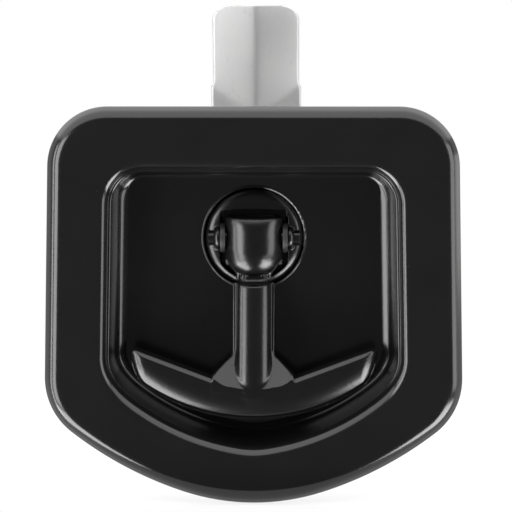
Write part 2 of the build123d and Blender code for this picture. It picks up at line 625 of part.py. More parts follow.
def biarc(start, start_ahead, end, end_ahead):
    """Two arcs that leave start and reach end in the given directions and are tangent where they meet."""
    chord = end - start
    both = start_ahead + end_ahead
    bend = 2 * (1 - start_ahead.dot(end_ahead))
    slant = chord.dot(both)
    reach = (-slant + math.sqrt(slant**2 + bend * chord.dot(chord))) / bend
    middle = (start + start_ahead * reach + end - end_ahead * reach) * 0.5
    first = TangentArc(start, middle, tangent=start_ahead)
    return [first, TangentArc(end, middle, tangent=end_ahead * -1)]


def make_compression_spring():
    """Open-ended helical spring round the shank, one unbroken wire on biarcs of a quarter turn."""
    quarters = round(SPRING_TURNS * 4)
    path = []
    for i in range(quarters):
        start, start_ahead = helix_point(i / 4)
        end, end_ahead = helix_point((i + 1) / 4)
        path += biarc(start, start_ahead, end, end_ahead)
    wire = Wire([edge for edge in (Curve() + path).edges()])
    place, ahead = helix_point(0)
    return sweep(Plane(place, z_dir=ahead) * Circle(SPRING_WIRE_RADIUS), path=wire)


def print_spring_gap():
    """Least gap between neighbouring turns, measured on points along the centre line."""
    steps = 24
    points = [helix_point(i / steps)[0] for i in range(round(SPRING_TURNS * steps) + 1)]
    least = min(
        (points[i] - points[j]).length
        for i in range(len(points))
        for j in range(i + steps // 2, len(points))
    )
    print("compression_spring least gap to itself", round(least - 2 * SPRING_WIRE_RADIUS, 2))


def make_spring_retainer():
    bore = SHANK_CORNER_RADIUS + RUNNING_CLEARANCE
    return ring(RETAINER_RADIUS, bore, SPRING_BACK_Y, RETAINER_BACK_Y)


def make_retaining_ring():
    """Open snap ring in the groove across the corners of the shank."""
    shape = Circle(SNAP_RING_OUTER_RADIUS) - Circle(SNAP_RING_GROOVE_RADIUS + RUNNING_CLEARANCE)
    half_opening = SNAP_RING_OPENING_ANGLE / 2
    shape -= sector(SNAP_RING_GROOVE_RADIUS / 2, 2 * SNAP_RING_OUTER_RADIUS, 180, half_opening)
    return along_y(shape, RETAINER_BACK_Y, CAM_FRONT_Y)


def cam_outline():
    """Seen from the front: a round hub, a straight arm and a slightly narrower nose."""
    arm = Pos(0, CAM_SHOULDER_Z / 2) * Rectangle(2 * CAM_HUB_RADIUS, CAM_SHOULDER_Z)
    nose = Pos(0, CAM_TIP_Z / 2) * Rectangle(2 * CAM_NOSE_HALF_WIDTH, CAM_TIP_Z)
    nose = fillet(corners_at(nose, CAM_NOSE_HALF_WIDTH, CAM_TIP_Z), CAM_TIP_CORNER)
    return Circle(CAM_HUB_RADIUS) + arm + nose


def make_cam():
    """Flat arm whose nose is pressed into a ridge that leans forward and falls back on each side."""
    side_x = CAM_HUB_RADIUS + CAM_THICKNESS
    top_z = CAM_TIP_Z + CAM_THICKNESS
    side_start_z = CAM_RIDGE_START_Z + (CAM_SHOULDER_Z - CAM_RIDGE_START_Z) * side_x / CAM_HUB_RADIUS
    lean = CAM_SIDE_FALL * CAM_HUB_RADIUS / (CAM_SHOULDER_Z - CAM_RIDGE_START_Z)

    def on_nose(x, z):
        return (x, CAM_FRONT_Y + CAM_SIDE_FALL * abs(x) - lean * (z - CAM_RIDGE_START_Z), z)

    faces = []
    for side in (-side_x, side_x):
        corners = [(0, CAM_RIDGE_START_Z), (side, side_start_z), (side, top_z), (0, top_z)]
        faces.append(Face(Wire.make_polygon([on_nose(x, z) for x, z in corners], close=True)))
    below = Polyline(
        (-side_x, -side_x),
        (side_x, -side_x),
        (side_x, side_start_z),
        (0, CAM_RIDGE_START_Z),
        (-side_x, side_start_z),
        close=True,
    )
    cam = along_y(make_face(below), CAM_FRONT_Y, CAM_BACK_Y)
    for face in faces:
        cam += extrude(face, amount=CAM_THICKNESS, dir=(0, 1, 0))
    cam &= along_y(cam_outline(), CAM_FRONT_Y - CAM_TIP_Z, CAM_BACK_Y)
    return cam - along_y(shank_section(RUNNING_CLEARANCE), CAM_FRONT_Y, CAM_BACK_Y)


def make_cam_washer():
    return ring(WASHER_RADIUS, SCREW_RADIUS + SCREW_HOLE_CLEARANCE, CAM_BACK_Y, WASHER_BACK_Y)


def make_lock_washer():
    """Split ring under the screw head."""
    shape = Circle(LOCK_WASHER_RADIUS) - Circle(SCREW_RADIUS + SCREW_HOLE_CLEARANCE)
    shape -= Pos(0, LOCK_WASHER_RADIUS) * Rectangle(LOCK_WASHER_SLIT, 2 * SCREW_RADIUS)
    return along_y(shape, WASHER_BACK_Y, LOCK_WASHER_BACK_Y)


def make_cam_screw():
    """Hexagon screw in the end of the shank."""
    tip_y = SHANK_END_Y - SCREW_REACH
    screw = disc(SCREW_RADIUS, tip_y, LOCK_WASHER_BACK_Y)
    screw = chamfer(edges_at(screw, tip_y), SCREW_TIP_CHAMFER)
    hexagon = RegularPolygon(SCREW_HEAD_ACROSS_FLATS / 2, 6, major_radius=False)
    head = along_y(hexagon, LOCK_WASHER_BACK_Y, SCREW_HEAD_BACK_Y)
    return screw + chamfer(edges_at(head, SCREW_HEAD_BACK_Y), SCREW_HEAD_CHAMFER)


NODES = {
    "pan": make_pan,
    "gasket": make_gasket,
    "weld_studs": make_weld_studs,
    "bearing_bush": make_bearing_bush,
    "stop_plate": make_stop_plate,
    "rotor": make_rotor,
    "handle": make_handle,
    "handle_pin": make_handle_pin,
    "pivot_spacers": make_pivot_spacers,
    "detent_leaf": make_detent_leaf,
    "leaf_rivet": make_leaf_rivet,
    "rotor_seal": make_rotor_seal,
    "thrust_washer": make_thrust_washer,
    "stop_washer": make_stop_washer,
    "compression_spring": make_compression_spring,
    "spring_retainer": make_spring_retainer,
    "retaining_ring": make_retaining_ring,
    "cam": make_cam,
    "cam_washer": make_cam_washer,
    "lock_washer": make_lock_washer,
    "cam_screw": make_cam_screw,
}

os.makedirs("parts", exist_ok=True)
for name, make in NODES.items():
    export_step(make(), f"parts/{name}.step")
print_spring_gap()
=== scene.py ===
import math

import bmesh
import bpy
import numpy as np
from mathutils import Matrix, Vector


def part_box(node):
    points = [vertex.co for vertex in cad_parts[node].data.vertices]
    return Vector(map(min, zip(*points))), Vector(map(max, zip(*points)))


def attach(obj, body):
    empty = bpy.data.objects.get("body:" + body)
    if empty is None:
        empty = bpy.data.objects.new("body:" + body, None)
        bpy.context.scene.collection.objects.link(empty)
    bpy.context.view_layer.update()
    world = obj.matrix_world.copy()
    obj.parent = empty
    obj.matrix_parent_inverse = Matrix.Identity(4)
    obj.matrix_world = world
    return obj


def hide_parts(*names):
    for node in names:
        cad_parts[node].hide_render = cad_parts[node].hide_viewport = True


# Recessed folding T-handle latch. Shapes are worked out in millimetres and stored in metres.
# X is across the plate, Z is up the plate, Y runs from the front (negative) to the back.

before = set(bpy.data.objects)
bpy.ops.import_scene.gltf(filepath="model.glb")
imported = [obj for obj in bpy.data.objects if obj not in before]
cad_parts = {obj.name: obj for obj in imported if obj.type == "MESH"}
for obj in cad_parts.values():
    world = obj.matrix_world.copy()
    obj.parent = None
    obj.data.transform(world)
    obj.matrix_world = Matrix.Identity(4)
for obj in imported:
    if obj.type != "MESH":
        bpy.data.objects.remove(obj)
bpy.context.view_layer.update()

# A millimetre, and the distance within which points are welded, both in metres
MM = 0.001
WELD = 2e-6


def box_mm(node):
    """Lowest and highest corner of a CAD node, in millimetres."""
    low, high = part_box(node)
    return np.array(low) / MM, np.array(high) / MM


PAN_LOW, PAN_HIGH = box_mm("pan")
HANDLE_LOW, HANDLE_HIGH = box_mm("handle")
ROTOR_LOW, ROTOR_HIGH = box_mm("rotor")
STUD_LOW, STUD_HIGH = box_mm("weld_studs")
SPRING_LOW, SPRING_HIGH = box_mm("compression_spring")
CAM_LOW, CAM_HIGH = box_mm("cam")

# Sheet and its bends
SHEET = 1.5
RIM_BEND = 3.0
RIM_FACE_RADIUS = 4.74
RIM_EDGE_RADIUS = 1.0
RIM_TURN = math.radians(52)
RIM_END_GAP = 0.02
RIM_END_EDGE = 0.3
SIDE_LEAN = math.radians(1.1)
LEDGE_DEPTH = 4.5
LEDGE_EDGE = 0.8
LEDGE_ROOT = 0.3
BACK_LEDGE_EDGE = 0.9
BACK_LEDGE_ROOT = 0.1
BACK_LEDGE_RISE = 1.4
BACK_MOUTH_BEND = 1.0
POCKET_DEPTH = 16.0
CUP_GAP = 0.5
CUP_LIP = 0.4
CUP_BEAD = 0.6
CUP_BEAD_HEIGHT = 0.32
CUP_BACK_EDGE = 1.5
SUPPORT = 0.3

# Wall of the pocket: radius of the mouth's bend, width of the ledge, how far the wall runs in, and the arcs
# of the floor corner, each with its radius and the tilt in degrees at which it ends
SIDE_WALL = {"bend": 2.5, "ledge": 1.1, "draft": 1.7, "arcs": ((1.0, 33), (7.6, 18), (1.0, 0))}
TOP_WALL = {"bend": 2.5, "ledge": 1.1, "draft": 0.6, "arcs": ((2.0, 60), (2.0, 30), (2.0, 0))}
LOW_WALL = {"bend": 4.2, "ledge": 0.0, "draft": 2.5, "arcs": SIDE_WALL["arcs"]}
LOW_WALL_GAIN = 1.25

# Plate and pocket outlines
SIDE_FLANGE = 15.2
TOP_FLANGE = 15.4
LOW_FLANGE = 12.6
PLATE = {
    "half_width": PAN_HIGH[0],
    "top": PAN_HIGH[2],
    "bottom": PAN_LOW[2],
    "top_corner": 17.5,
    "side_corner": 20.0,
    "nose_radius": 65.0,
    "nose_angle": 18.0,
    "flank_angle": 38.0,
}
MOUTH = {
    "half_width": PAN_HIGH[0] - SIDE_FLANGE,
    "top": PAN_HIGH[2] - TOP_FLANGE,
    "bottom": PAN_LOW[2] + LOW_FLANGE,
    "top_corner": 13.0,
    "side_corner": 19.1,
    "nose_radius": 30.0,
    "nose_angle": 9.0,
    "flank_angle": 38.0,
}
FLANGE_FRONT = PAN_LOW[1]
FLANGE_BACK = FLANGE_FRONT + SHEET
LEDGE_FRONT = FLANGE_FRONT + LEDGE_DEPTH
FLOOR_FRONT = FLANGE_FRONT + POCKET_DEPTH
FLOOR_BACK = FLOOR_FRONT + SHEET
CUP_BACK = PAN_HIGH[1]
CUP_SEAT = CUP_BACK - SHEET
BUSH_RADIUS = 10.07

# Rotor
ROTOR_RADIUS = ROTOR_HIGH[0]
ROTOR_PROUD = 2.0
ROTOR_FRONT = FLOOR_FRONT - ROTOR_PROUD
ROTOR_EDGE_WIDTH = 3.8
ROTOR_EDGE_DEPTH = 1.9
ROTOR_FACE_SLACK = 0.15
ROTOR_SKIN = 0.3
ROTOR_EASE = (0.5, -0.53)
ROTOR_EASE_ROUNDS = 5
CUP_RADIUS = ROTOR_RADIUS + CUP_GAP

# Studs
STUD_RADIUS = 3.175
STUD_BASE_RADIUS = 4.4
STUD_BASE_HEIGHT = 0.8
STUD_BASE_EDGE = 0.3
STUD_SHOULDER_RADIUS = 3.4
STUD_SHOULDER_HEIGHT = 0.2
STUD_CREST_CUT = 0.1
STUD_CHAMFER = 0.8
STUD_CHAMFER_SLOPE = 0.9
STUD_TIP_RADIUS = 1.2
STUD_X = 50.8
STUD_Z = 25.4
THREAD_PITCH = 1.27
THREAD_DEPTH = 0.465
THREAD_START = 1.2

# Spring and cam
WIRE_RADIUS = 0.9
SPRING_TURNS = 3.5
SPRING_END_SHARE = 0.93
CAM_NOSE_HALF = 13.2
CAM_NOSE_LENGTH = 24.0
CAM_TIP_CORNER = 4.6
CAM_RIDGE_RUN = 10.0
CAM_FALL = 0.27
CAM_THICKNESS = 4.0
CAM_EDGE = 0.5
CAM_LEAST_HALF = 0.6
CAM_STEP = 1.2
CAM_RIDGE_EASE = 0.8
CAM_BEND_EASE = 0.5

# Rounding of the cam's end: share of the last section's thickness, and height above it
CAM_CAPS = ((0.97, 0.3), (0.9, CAM_EDGE))

# Handle: pin, head and heel
HANDLE_SKIN = 0.28
PIN_Y = 12.0
PIN_HOLE = 2.55
HEAD_HALF = 8.35
HEAD_FRONT = 5.1
HEAD_BARREL = 9.8
HEAD_BACK = 10.0
HEAD_LAP = 1.0
HEAD_BOTTOM = -11.3
HEAD_BOTTOM_BOW = 0.05
HEAD_BOTTOM_CROWN = 7.5
HEAD_BOTTOM_REACH = 0.7
HEAD_BOTTOM_BEND = 0.8
HEAD_LEAST_DEPTH = 0.5
HEAD_BOTTOM_CORNER = 2.4
HEAD_BOTTOM_CORNER_START = 0.6
HEAD_ROLL = 9.75
HEAD_ROLL_START = 1.3
HEAD_ROLL_BOW = 0.034
HEEL_BACK = 18.1
HEEL_HALF = 6.1
HEEL_CORNER = 3.6
HEEL_BOTTOM = -8.0
UNDERSIDE = (6.1, 3.2)

# Handle: neck and stem
NECK_FRONT = 9.2
NECK_LAP = 3.0
STEM_TOP = -13.8
STEM_TOP_FRONT = 4.4
STEM_SLOPE = 0.274
STEM_HALF = 5.05
STEM_BEND = 3.6
STEM_END_SLOPE = 0.3
STEM_BACK_GAP = 0.4
BASE_HALF = 6.1
BASE_TOP = -13.0
BASE_DEPTH = 1.5

# Handle: bar and webs, and where the stem sinks into the bar
BAR_FRONT = HANDLE_LOW[1]
BAR_BACK = BAR_FRONT + 7.4
BAR_HALF = HANDLE_HIGH[0]
BAR_BOTTOM = HANDLE_LOW[2] + 0.8
BAR_ARC = 58.0
BAR_SLOPE = math.radians(20.5)
BAR_SOLID_ARC = 62.0
BAR_TIP_HEIGHT = 11.2
BAR_TIP_LOW = HANDLE_LOW[2] + BAR_SOLID_ARC - math.sqrt(BAR_SOLID_ARC**2 - BAR_HALF**2)
BAR_TIP_TOP = BAR_TIP_LOW + BAR_TIP_HEIGHT
BAR_LIP = 0.1
BAR_BEVEL = 1.35
BAR_BEVEL_SLOPE = 0.95
BAR_STEP = 1.4
BAR_CROWN = 8.0
BAR_TIP_CROWN = 4.6
BAR_CROWN_SHARE = 0.82
BAR_CROWN_BEND = 4.8
BAR_LOW_CORNER = 5.0
BAR_TOP_CORNER = 2.0
WEB_FOOT_X = 11.9
WEB_FOOT_Z = BAR_TIP_TOP - (BAR_HALF - WEB_FOOT_X) * math.tan(BAR_SLOPE) + 0.7
WEB_FOOT = np.array([WEB_FOOT_X, WEB_FOOT_Z])
WEB_TOP = np.array([BASE_HALF - 0.2, WEB_FOOT_Z + 5.8])
WEB_BOTTOM = WEB_FOOT_Z - 5.0
WEB_RAMP = 0.75
WEB_TURN = 6.2
WEB_SAG = 3.4
WEB_RISE = 0.22
WEB_BOW = 0.092
WEB_SET_BACK = 0.12
WEB_LAP = 0.2
STEM_SINK = 0.5
STEM_SINK_TOP = WEB_FOOT_Z - 6.25
STEM_BOTTOM = BAR_BOTTOM + 5.0

# Widths over which the parts of the handle round off or run into each other
HEAD_EDGE = 0.7
HEEL_EDGE = 0.5
CAST_EDGE = 0.4
FINE_EDGE = 0.3
CRISP_EDGE = 0.2
BAR_EDGE = 0.5
BEVEL_EDGE = 0.15
STEM_END_EDGE = 0.1
STEM_SEAM = 0.25
STEM_FILLET = 0.8
NECK_SEAM = 0.1

# Place of the camera, from the photograph
CAMERA_ELEVATION = 5.0
CAMERA_AZIMUTH = -1.2
CAMERA_DISTANCE = 650.0
FRAME_WIDTH = 147.3
AIM = (0.9, FLANGE_FRONT, -4.1)


# Meshes

def grid(points, wrap_rows=False, wrap_columns=False):
    """Points of a grid and the quads between neighbouring rows and columns."""
    rows, columns = points.shape[:2]
    numbers = np.arange(rows * columns).reshape(rows, columns)
    if wrap_rows:
        numbers = np.vstack([numbers, numbers[:1]])
    if wrap_columns:
        numbers = np.hstack([numbers, numbers[:, :1]])
    corners = [numbers[:-1, :-1], numbers[:-1, 1:], numbers[1:, 1:], numbers[1:, :-1]]
    return points.reshape(-1, 3), np.stack(corners, axis=-1).reshape(-1, 4)


def stand_in(mesh, name, material, body, node):
    """The mesh as a piece of the scene, which rides on a body and takes the place of a CAD node."""
    mesh.shade_smooth()
    mesh.materials.clear()
    mesh.materials.append(material)
    made = bpy.data.objects.new(name, mesh)
    bpy.context.scene.collection.objects.link(made)
    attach(made, body)
    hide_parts(node)


def piece(name, surfaces, material, body, node):
    """One closed piece from grids in millimetres, welded where they meet, with its normals outwards."""
    points = np.vstack([p for p, _ in surfaces])
    starts = np.cumsum([0] + [len(p) for p, _ in surfaces[:-1]])
    quads = np.vstack([q + start for (_, q), start in zip(surfaces, starts)])
    mesh = bpy.data.meshes.new(name)
    mesh.from_pydata((points * MM).tolist(), [], quads.tolist())
    work = bmesh.new()
    work.from_mesh(mesh)
    bmesh.ops.remove_doubles(work, verts=work.verts, dist=WELD)
    bmesh.ops.recalc_face_normals(work, faces=work.faces)
    work.to_mesh(mesh)
    work.free()
    stand_in(mesh, name, material, body, node)


def quarter(start, end, flat_first, count=8):
    """Quarter of an ellipse between two points of a profile, start + (end - start) * (sin t, 1 - cos t). It
    leaves start across, or along Y with the two shares swapped."""
    t = np.linspace(0, math.pi / 2, count)
    rise, run = np.sin(t), 1 - np.cos(t)
    shares = np.stack([rise, run] if flat_first else [run, rise], axis=-1)
    return np.array(start) + (np.array(end) - np.array(start)) * shares


def shield_line(half_width, top, bottom, top_corner, side_corner, nose_radius, nose_angle, flank_angle):
    """Points round the outline and the outward direction at each. Along an arc both follow the angle a of the
    outward direction from straight down: centre + radius * (sin a, -cos a)."""
    nose, flank = math.radians(nose_angle), math.radians(flank_angle)
    flank_x = half_width - side_corner * (1 - math.sin(flank))
    flank_radius = (flank_x - nose_radius * math.sin(nose)) / (math.sin(flank) - math.sin(nose))
    flank_centre_x = (nose_radius - flank_radius) * math.sin(nose)
    flank_centre_z = bottom + nose_radius - (nose_radius - flank_radius) * math.cos(nose)
    corner_x = half_width - side_corner
    corner_z = flank_centre_z - (flank_radius - side_corner) * math.cos(flank)
    top_z = top - top_corner
    narrowing = side_corner - top_corner - (top_z - corner_z) * math.sin(SIDE_LEAN)
    top_x = corner_x + narrowing / math.cos(SIDE_LEAN)
    across = np.array([math.cos(SIDE_LEAN), math.sin(SIDE_LEAN)])
    side_start = np.array([corner_x, corner_z]) + side_corner * across
    side_end = np.array([top_x, top_z]) + top_corner * across

    def arc(centre_x, centre_z, radius, first, last, count):
        a = np.linspace(first, last, count, endpoint=False)
        away = np.stack([np.sin(a), -np.cos(a)], axis=-1)
        return np.array([centre_x, centre_z]) + radius * away, away

    def line(start, end, away, count):
        t = np.linspace(0, 1, count, endpoint=False)[:, None]
        points = np.array(start) + t * (np.array(end) - np.array(start))
        return points, np.tile(np.array(away, float), (count, 1))

    parts = [
        arc(0, bottom + nose_radius, nose_radius, 0, nose, 8),
        arc(flank_centre_x, flank_centre_z, flank_radius, nose, flank, 24),
        arc(corner_x, corner_z, side_corner, flank, math.pi / 2 + SIDE_LEAN, 20),
        line(side_start, side_end, across, 20),
        arc(top_x, top_z, top_corner, math.pi / 2 + SIDE_LEAN, math.pi, 24),
        line((top_x, top), (0, top), (0, 1), 20),
    ]
    points = np.vstack([p for p, _ in parts] + [[[0, top]]])
    away = np.vstack([a for _, a in parts] + [[[0, 1]]])
    flip = np.array([-1, 1])
    return np.vstack([points, points[-2:0:-1] * flip]), np.vstack([away, away[-2:0:-1] * flip])


def rim_face():
    """Profile of the rim by its tilt from the front: a wide arc, inset = radius * (1 - sin) and y = front +
    radius * (1 - cos), then a straight slope and a tight arc round to the edge."""
    wide = np.linspace(RIM_TURN, 0, 12)
    tight = np.linspace(math.pi / 2, RIM_TURN, 6)
    face_y = FLANGE_FRONT + RIM_FACE_RADIUS * (1 - np.cos(wide))
    face = np.stack([RIM_FACE_RADIUS * (1 - np.sin(wide)), face_y], axis=-1)
    edge_y = -RIM_EDGE_RADIUS * np.cos(tight) - RIM_END_GAP
    edge = np.stack([RIM_EDGE_RADIUS * (1 - np.sin(tight)), edge_y], axis=-1)
    return [edge, face, [(RIM_FACE_RADIUS + SUPPORT, FLANGE_FRONT)]]


def floor_corner(arcs):
    """Turn from the wall into the floor, as distances inwards and down from the wall's foot. Along each arc
    the tilt t falls from a: radius * (sin a - sin t) inwards and radius * (cos t - cos a) down."""
    points, a = np.zeros((1, 2)), math.pi / 2
    for radius, last in arcs:
        t = np.linspace(a, math.radians(last), 7)[1:]
        arc = radius * np.stack([math.sin(a) - np.sin(t), np.cos(t) - math.cos(a)], axis=-1)
        points = np.vstack([points, points[-1] + arc])
        a = math.radians(last)
    return points


def pocket_front(bend, ledge, draft, arcs):
    """Profile of the pocket's front side: mouth bend, small ledge, drafted wall and floor corner."""
    turn = floor_corner(arcs)
    foot = np.array([bend + ledge + draft, FLOOR_FRONT - turn[-1, 1]])
    root, edge = min(LEDGE_ROOT, ledge), min(LEDGE_EDGE, ledge)
    return np.vstack(
        [
            [(-SUPPORT, FLANGE_FRONT)],
            quarter((0, FLANGE_FRONT), (bend, FLANGE_FRONT + bend), True),
            quarter((bend, LEDGE_FRONT - LEDGE_ROOT), (bend + root, LEDGE_FRONT), False),
            quarter((bend + ledge - edge, LEDGE_FRONT), (bend + ledge, LEDGE_FRONT + LEDGE_EDGE), True),
            foot + turn,
            [foot + turn[-1] + (SUPPORT, 0)],
        ]
    )


def pocket_back(bend, ledge, draft, arcs):
    """Profile of the pocket's back side, a sheet's thickness behind the front."""
    corner, height = floor_corner(arcs)[-1]
    neck = bend - SHEET
    wall = neck + ledge
    foot = wall + draft
    corner_end = foot + SHEET + corner
    step = LEDGE_FRONT + SHEET
    edge, root = min(BACK_LEDGE_EDGE, ledge), min(BACK_LEDGE_ROOT, ledge)
    return np.vstack(
        [
            [(corner_end + SUPPORT, FLOOR_BACK)],
            quarter((corner_end, FLOOR_BACK), (foot, FLOOR_FRONT - height), True, 16),
            quarter((wall, step + BACK_LEDGE_EDGE), (wall - edge, step), False),
            quarter((neck + root, step), (neck, step - BACK_LEDGE_RISE), True),
            quarter((neck, FLANGE_BACK + BACK_MOUTH_BEND), (neck - BACK_MOUTH_BEND, FLANGE_BACK), False),
            [(-SUPPORT, FLANGE_BACK)],
        ]
    )


def rows_along(outline, profile, top_profile=None, low_profile=None):
    """Rows of a grid: for each (inset, y) of the profile, the outline moved inwards by that inset, at that y.
    Other profiles take over towards the top and the bottom by s^2 * (3 - 2 * s), where s is how far the
    outline faces there."""
    points, away = outline
    profile = profile[:, None]
    for other, turned in ((top_profile, away[:, 1]), (low_profile, -LOW_WALL_GAIN * away[:, 1])):
        if other is not None:
            share = np.clip(turned, 0, 1)
            share = (share * share * (3 - 2 * share))[None, :, None]
            profile = profile * (1 - share) + other[:, None] * share
    flat = points[None] - profile[..., :1] * away[None]
    depth = np.broadcast_to(profile[..., 1:], flat.shape[:2] + (1,))
    return np.concatenate([flat[..., :1], depth, flat[..., 1:]], axis=-1)


def rows_round(directions, profile):
    """Rows of a grid: for each (radius, y) of the profile, a circle about Y through the directions."""
    profile = np.array(profile)
    flat = profile[:, 0, None, None] * directions[None]
    depth = np.broadcast_to(profile[:, 1, None, None], flat.shape[:2] + (1,))
    return np.concatenate([flat[..., :1], depth, flat[..., 1:]], axis=-1)


def pan(material):
    """The stamping: one closed profile from the rim over flange, mouth, ledge and floor to the cup and back
    along the other side of the sheet, carried round the plate outline, the pocket outline and a circle."""
    plate, mouth = shield_line(**PLATE), shield_line(**MOUTH)
    walls = (SIDE_WALL, TOP_WALL, LOW_WALL)
    floor_line = mouth[0] - pocket_front(**SIDE_WALL)[-2, 0] * mouth[1]
    directions = floor_line / np.linalg.norm(floor_line, axis=-1, keepdims=True)
    cup_outer = CUP_RADIUS + SHEET
    a = np.linspace(0, 1, 14)
    bead_y = FLOOR_FRONT - CUP_BEAD_HEIGHT * np.sin(math.pi * a**0.8)
    bead = np.stack([CUP_RADIUS + CUP_BEAD * (1 - a), bead_y], axis=-1)
    cup = [
        [(CUP_RADIUS + CUP_BEAD + SUPPORT, FLOOR_FRONT)],
        bead,
        [(CUP_RADIUS, CUP_SEAT), (BUSH_RADIUS, CUP_SEAT), (BUSH_RADIUS, CUP_BACK)],
        [(cup_outer - CUP_BACK_EDGE - SUPPORT, CUP_BACK)],
        quarter((cup_outer - CUP_BACK_EDGE, CUP_BACK), (cup_outer, CUP_BACK - CUP_BACK_EDGE), True),
        quarter((cup_outer, FLOOR_BACK + CUP_LIP), (cup_outer + CUP_LIP, FLOOR_BACK), False),
        [(cup_outer + CUP_LIP + SUPPORT, FLOOR_BACK)],
    ]
    back_rim = [
        [(RIM_BEND + SUPPORT, FLANGE_BACK)],
        quarter((RIM_BEND, FLANGE_BACK), (SHEET, FLANGE_BACK + RIM_BEND - SHEET), True),
        [(SHEET, 0), (RIM_END_EDGE, 0)],
    ]
    rows = [
        rows_along(plate, np.vstack(rim_face())),
        rows_along(mouth, *(pocket_front(**wall) for wall in walls)),
        rows_round(directions, np.vstack(cup)),
        rows_along(mouth, *(pocket_back(**wall) for wall in walls)),
        rows_along(plate, np.vstack(back_rim)),
    ]
    surface = grid(np.concatenate(rows), wrap_rows=True, wrap_columns=True)
    piece("pan_stamping", [surface], material, "pan_body", "pan")


def threaded_studs(material):
    """Four studs. The radius follows a rounded V along the helix: outer - depth * (1 - |cos(pi * turns)|).
    The thread runs out towards the weld base, and the tip is chamfered."""
    start, tip = STUD_LOW[1] + STUD_BASE_HEIGHT, STUD_HIGH[1]
    angle = np.linspace(0, 2 * math.pi, 40, endpoint=False)
    directions = np.stack([np.sin(angle), np.cos(angle)], axis=-1)
    y = np.linspace(start + STUD_SHOULDER_HEIGHT, tip, 141)[:, None]
    turns = y / THREAD_PITCH - angle / (2 * math.pi)
    fade = np.clip(y - start - THREAD_START, 0, 1)
    radius = STUD_RADIUS - THREAD_DEPTH * fade * (1 - np.abs(np.cos(math.pi * turns)))
    cut = STUD_CREST_CUT + STUD_CHAMFER_SLOPE * np.maximum(y - tip + STUD_CHAMFER, 0)
    radius = np.minimum(radius, STUD_RADIUS - cut)
    across = radius[..., None] * directions
    thread = np.stack([across[..., 0], np.broadcast_to(y, radius.shape), across[..., 1]], axis=-1)
    base = [(0, STUD_LOW[1]), (STUD_BASE_RADIUS, STUD_LOW[1]), (STUD_BASE_RADIUS, start - STUD_BASE_EDGE)]
    shoulder_end = (STUD_SHOULDER_RADIUS, start + STUD_SHOULDER_HEIGHT)
    shoulder = quarter((STUD_BASE_RADIUS - STUD_BASE_EDGE, start), shoulder_end, False, 4)
    foot = rows_round(directions, np.vstack([base, shoulder]))
    end = rows_round(directions, [(STUD_TIP_RADIUS, tip), (0, tip)])
    rows = np.concatenate([foot, thread, end])
    places = [(x, 0, z) for x in (-STUD_X, STUD_X) for z in (-STUD_Z, STUD_Z)]
    surfaces = [grid(rows + place, wrap_columns=True) for place in places]
    piece("weld_studs_threaded", surfaces, material, "pan_body", "weld_studs")


def spring(material):
    """Round wire carried along the helix (R sin a, rise * a, R cos a), with flat ends."""
    mean = SPRING_HIGH[0] - WIRE_RADIUS
    start, end = SPRING_LOW[1] + WIRE_RADIUS, SPRING_HIGH[1] - WIRE_RADIUS
    a = np.linspace(0, 2 * math.pi * SPRING_TURNS, 240)
    line = np.stack([mean * np.sin(a), start + (end - start) * a / a[-1], mean * np.cos(a)], axis=-1)
    ahead = np.gradient(line, axis=0)
    ahead /= np.linalg.norm(ahead, axis=-1, keepdims=True)
    out = np.stack([np.sin(a), np.zeros_like(a), np.cos(a)], axis=-1)
    side = np.cross(ahead, out)
    line, out, side = (np.concatenate([v[:1], v, v[-1:]]) for v in (line, out, side))
    shrink = np.ones(len(line))
    shrink[[0, -1]] = 0
    shrink[[1, -2]] = SPRING_END_SHARE
    b = np.linspace(0, 2 * math.pi, 20, endpoint=False)[None, :, None]
    ring = np.cos(b) * out[:, None] + np.sin(b) * side[:, None]
    rows = line[:, None] + WIRE_RADIUS * shrink[:, None, None] * ring
    surface = grid(rows, wrap_columns=True)
    piece("compression_spring_wire", [surface], material, "rotor_body", "compression_spring")


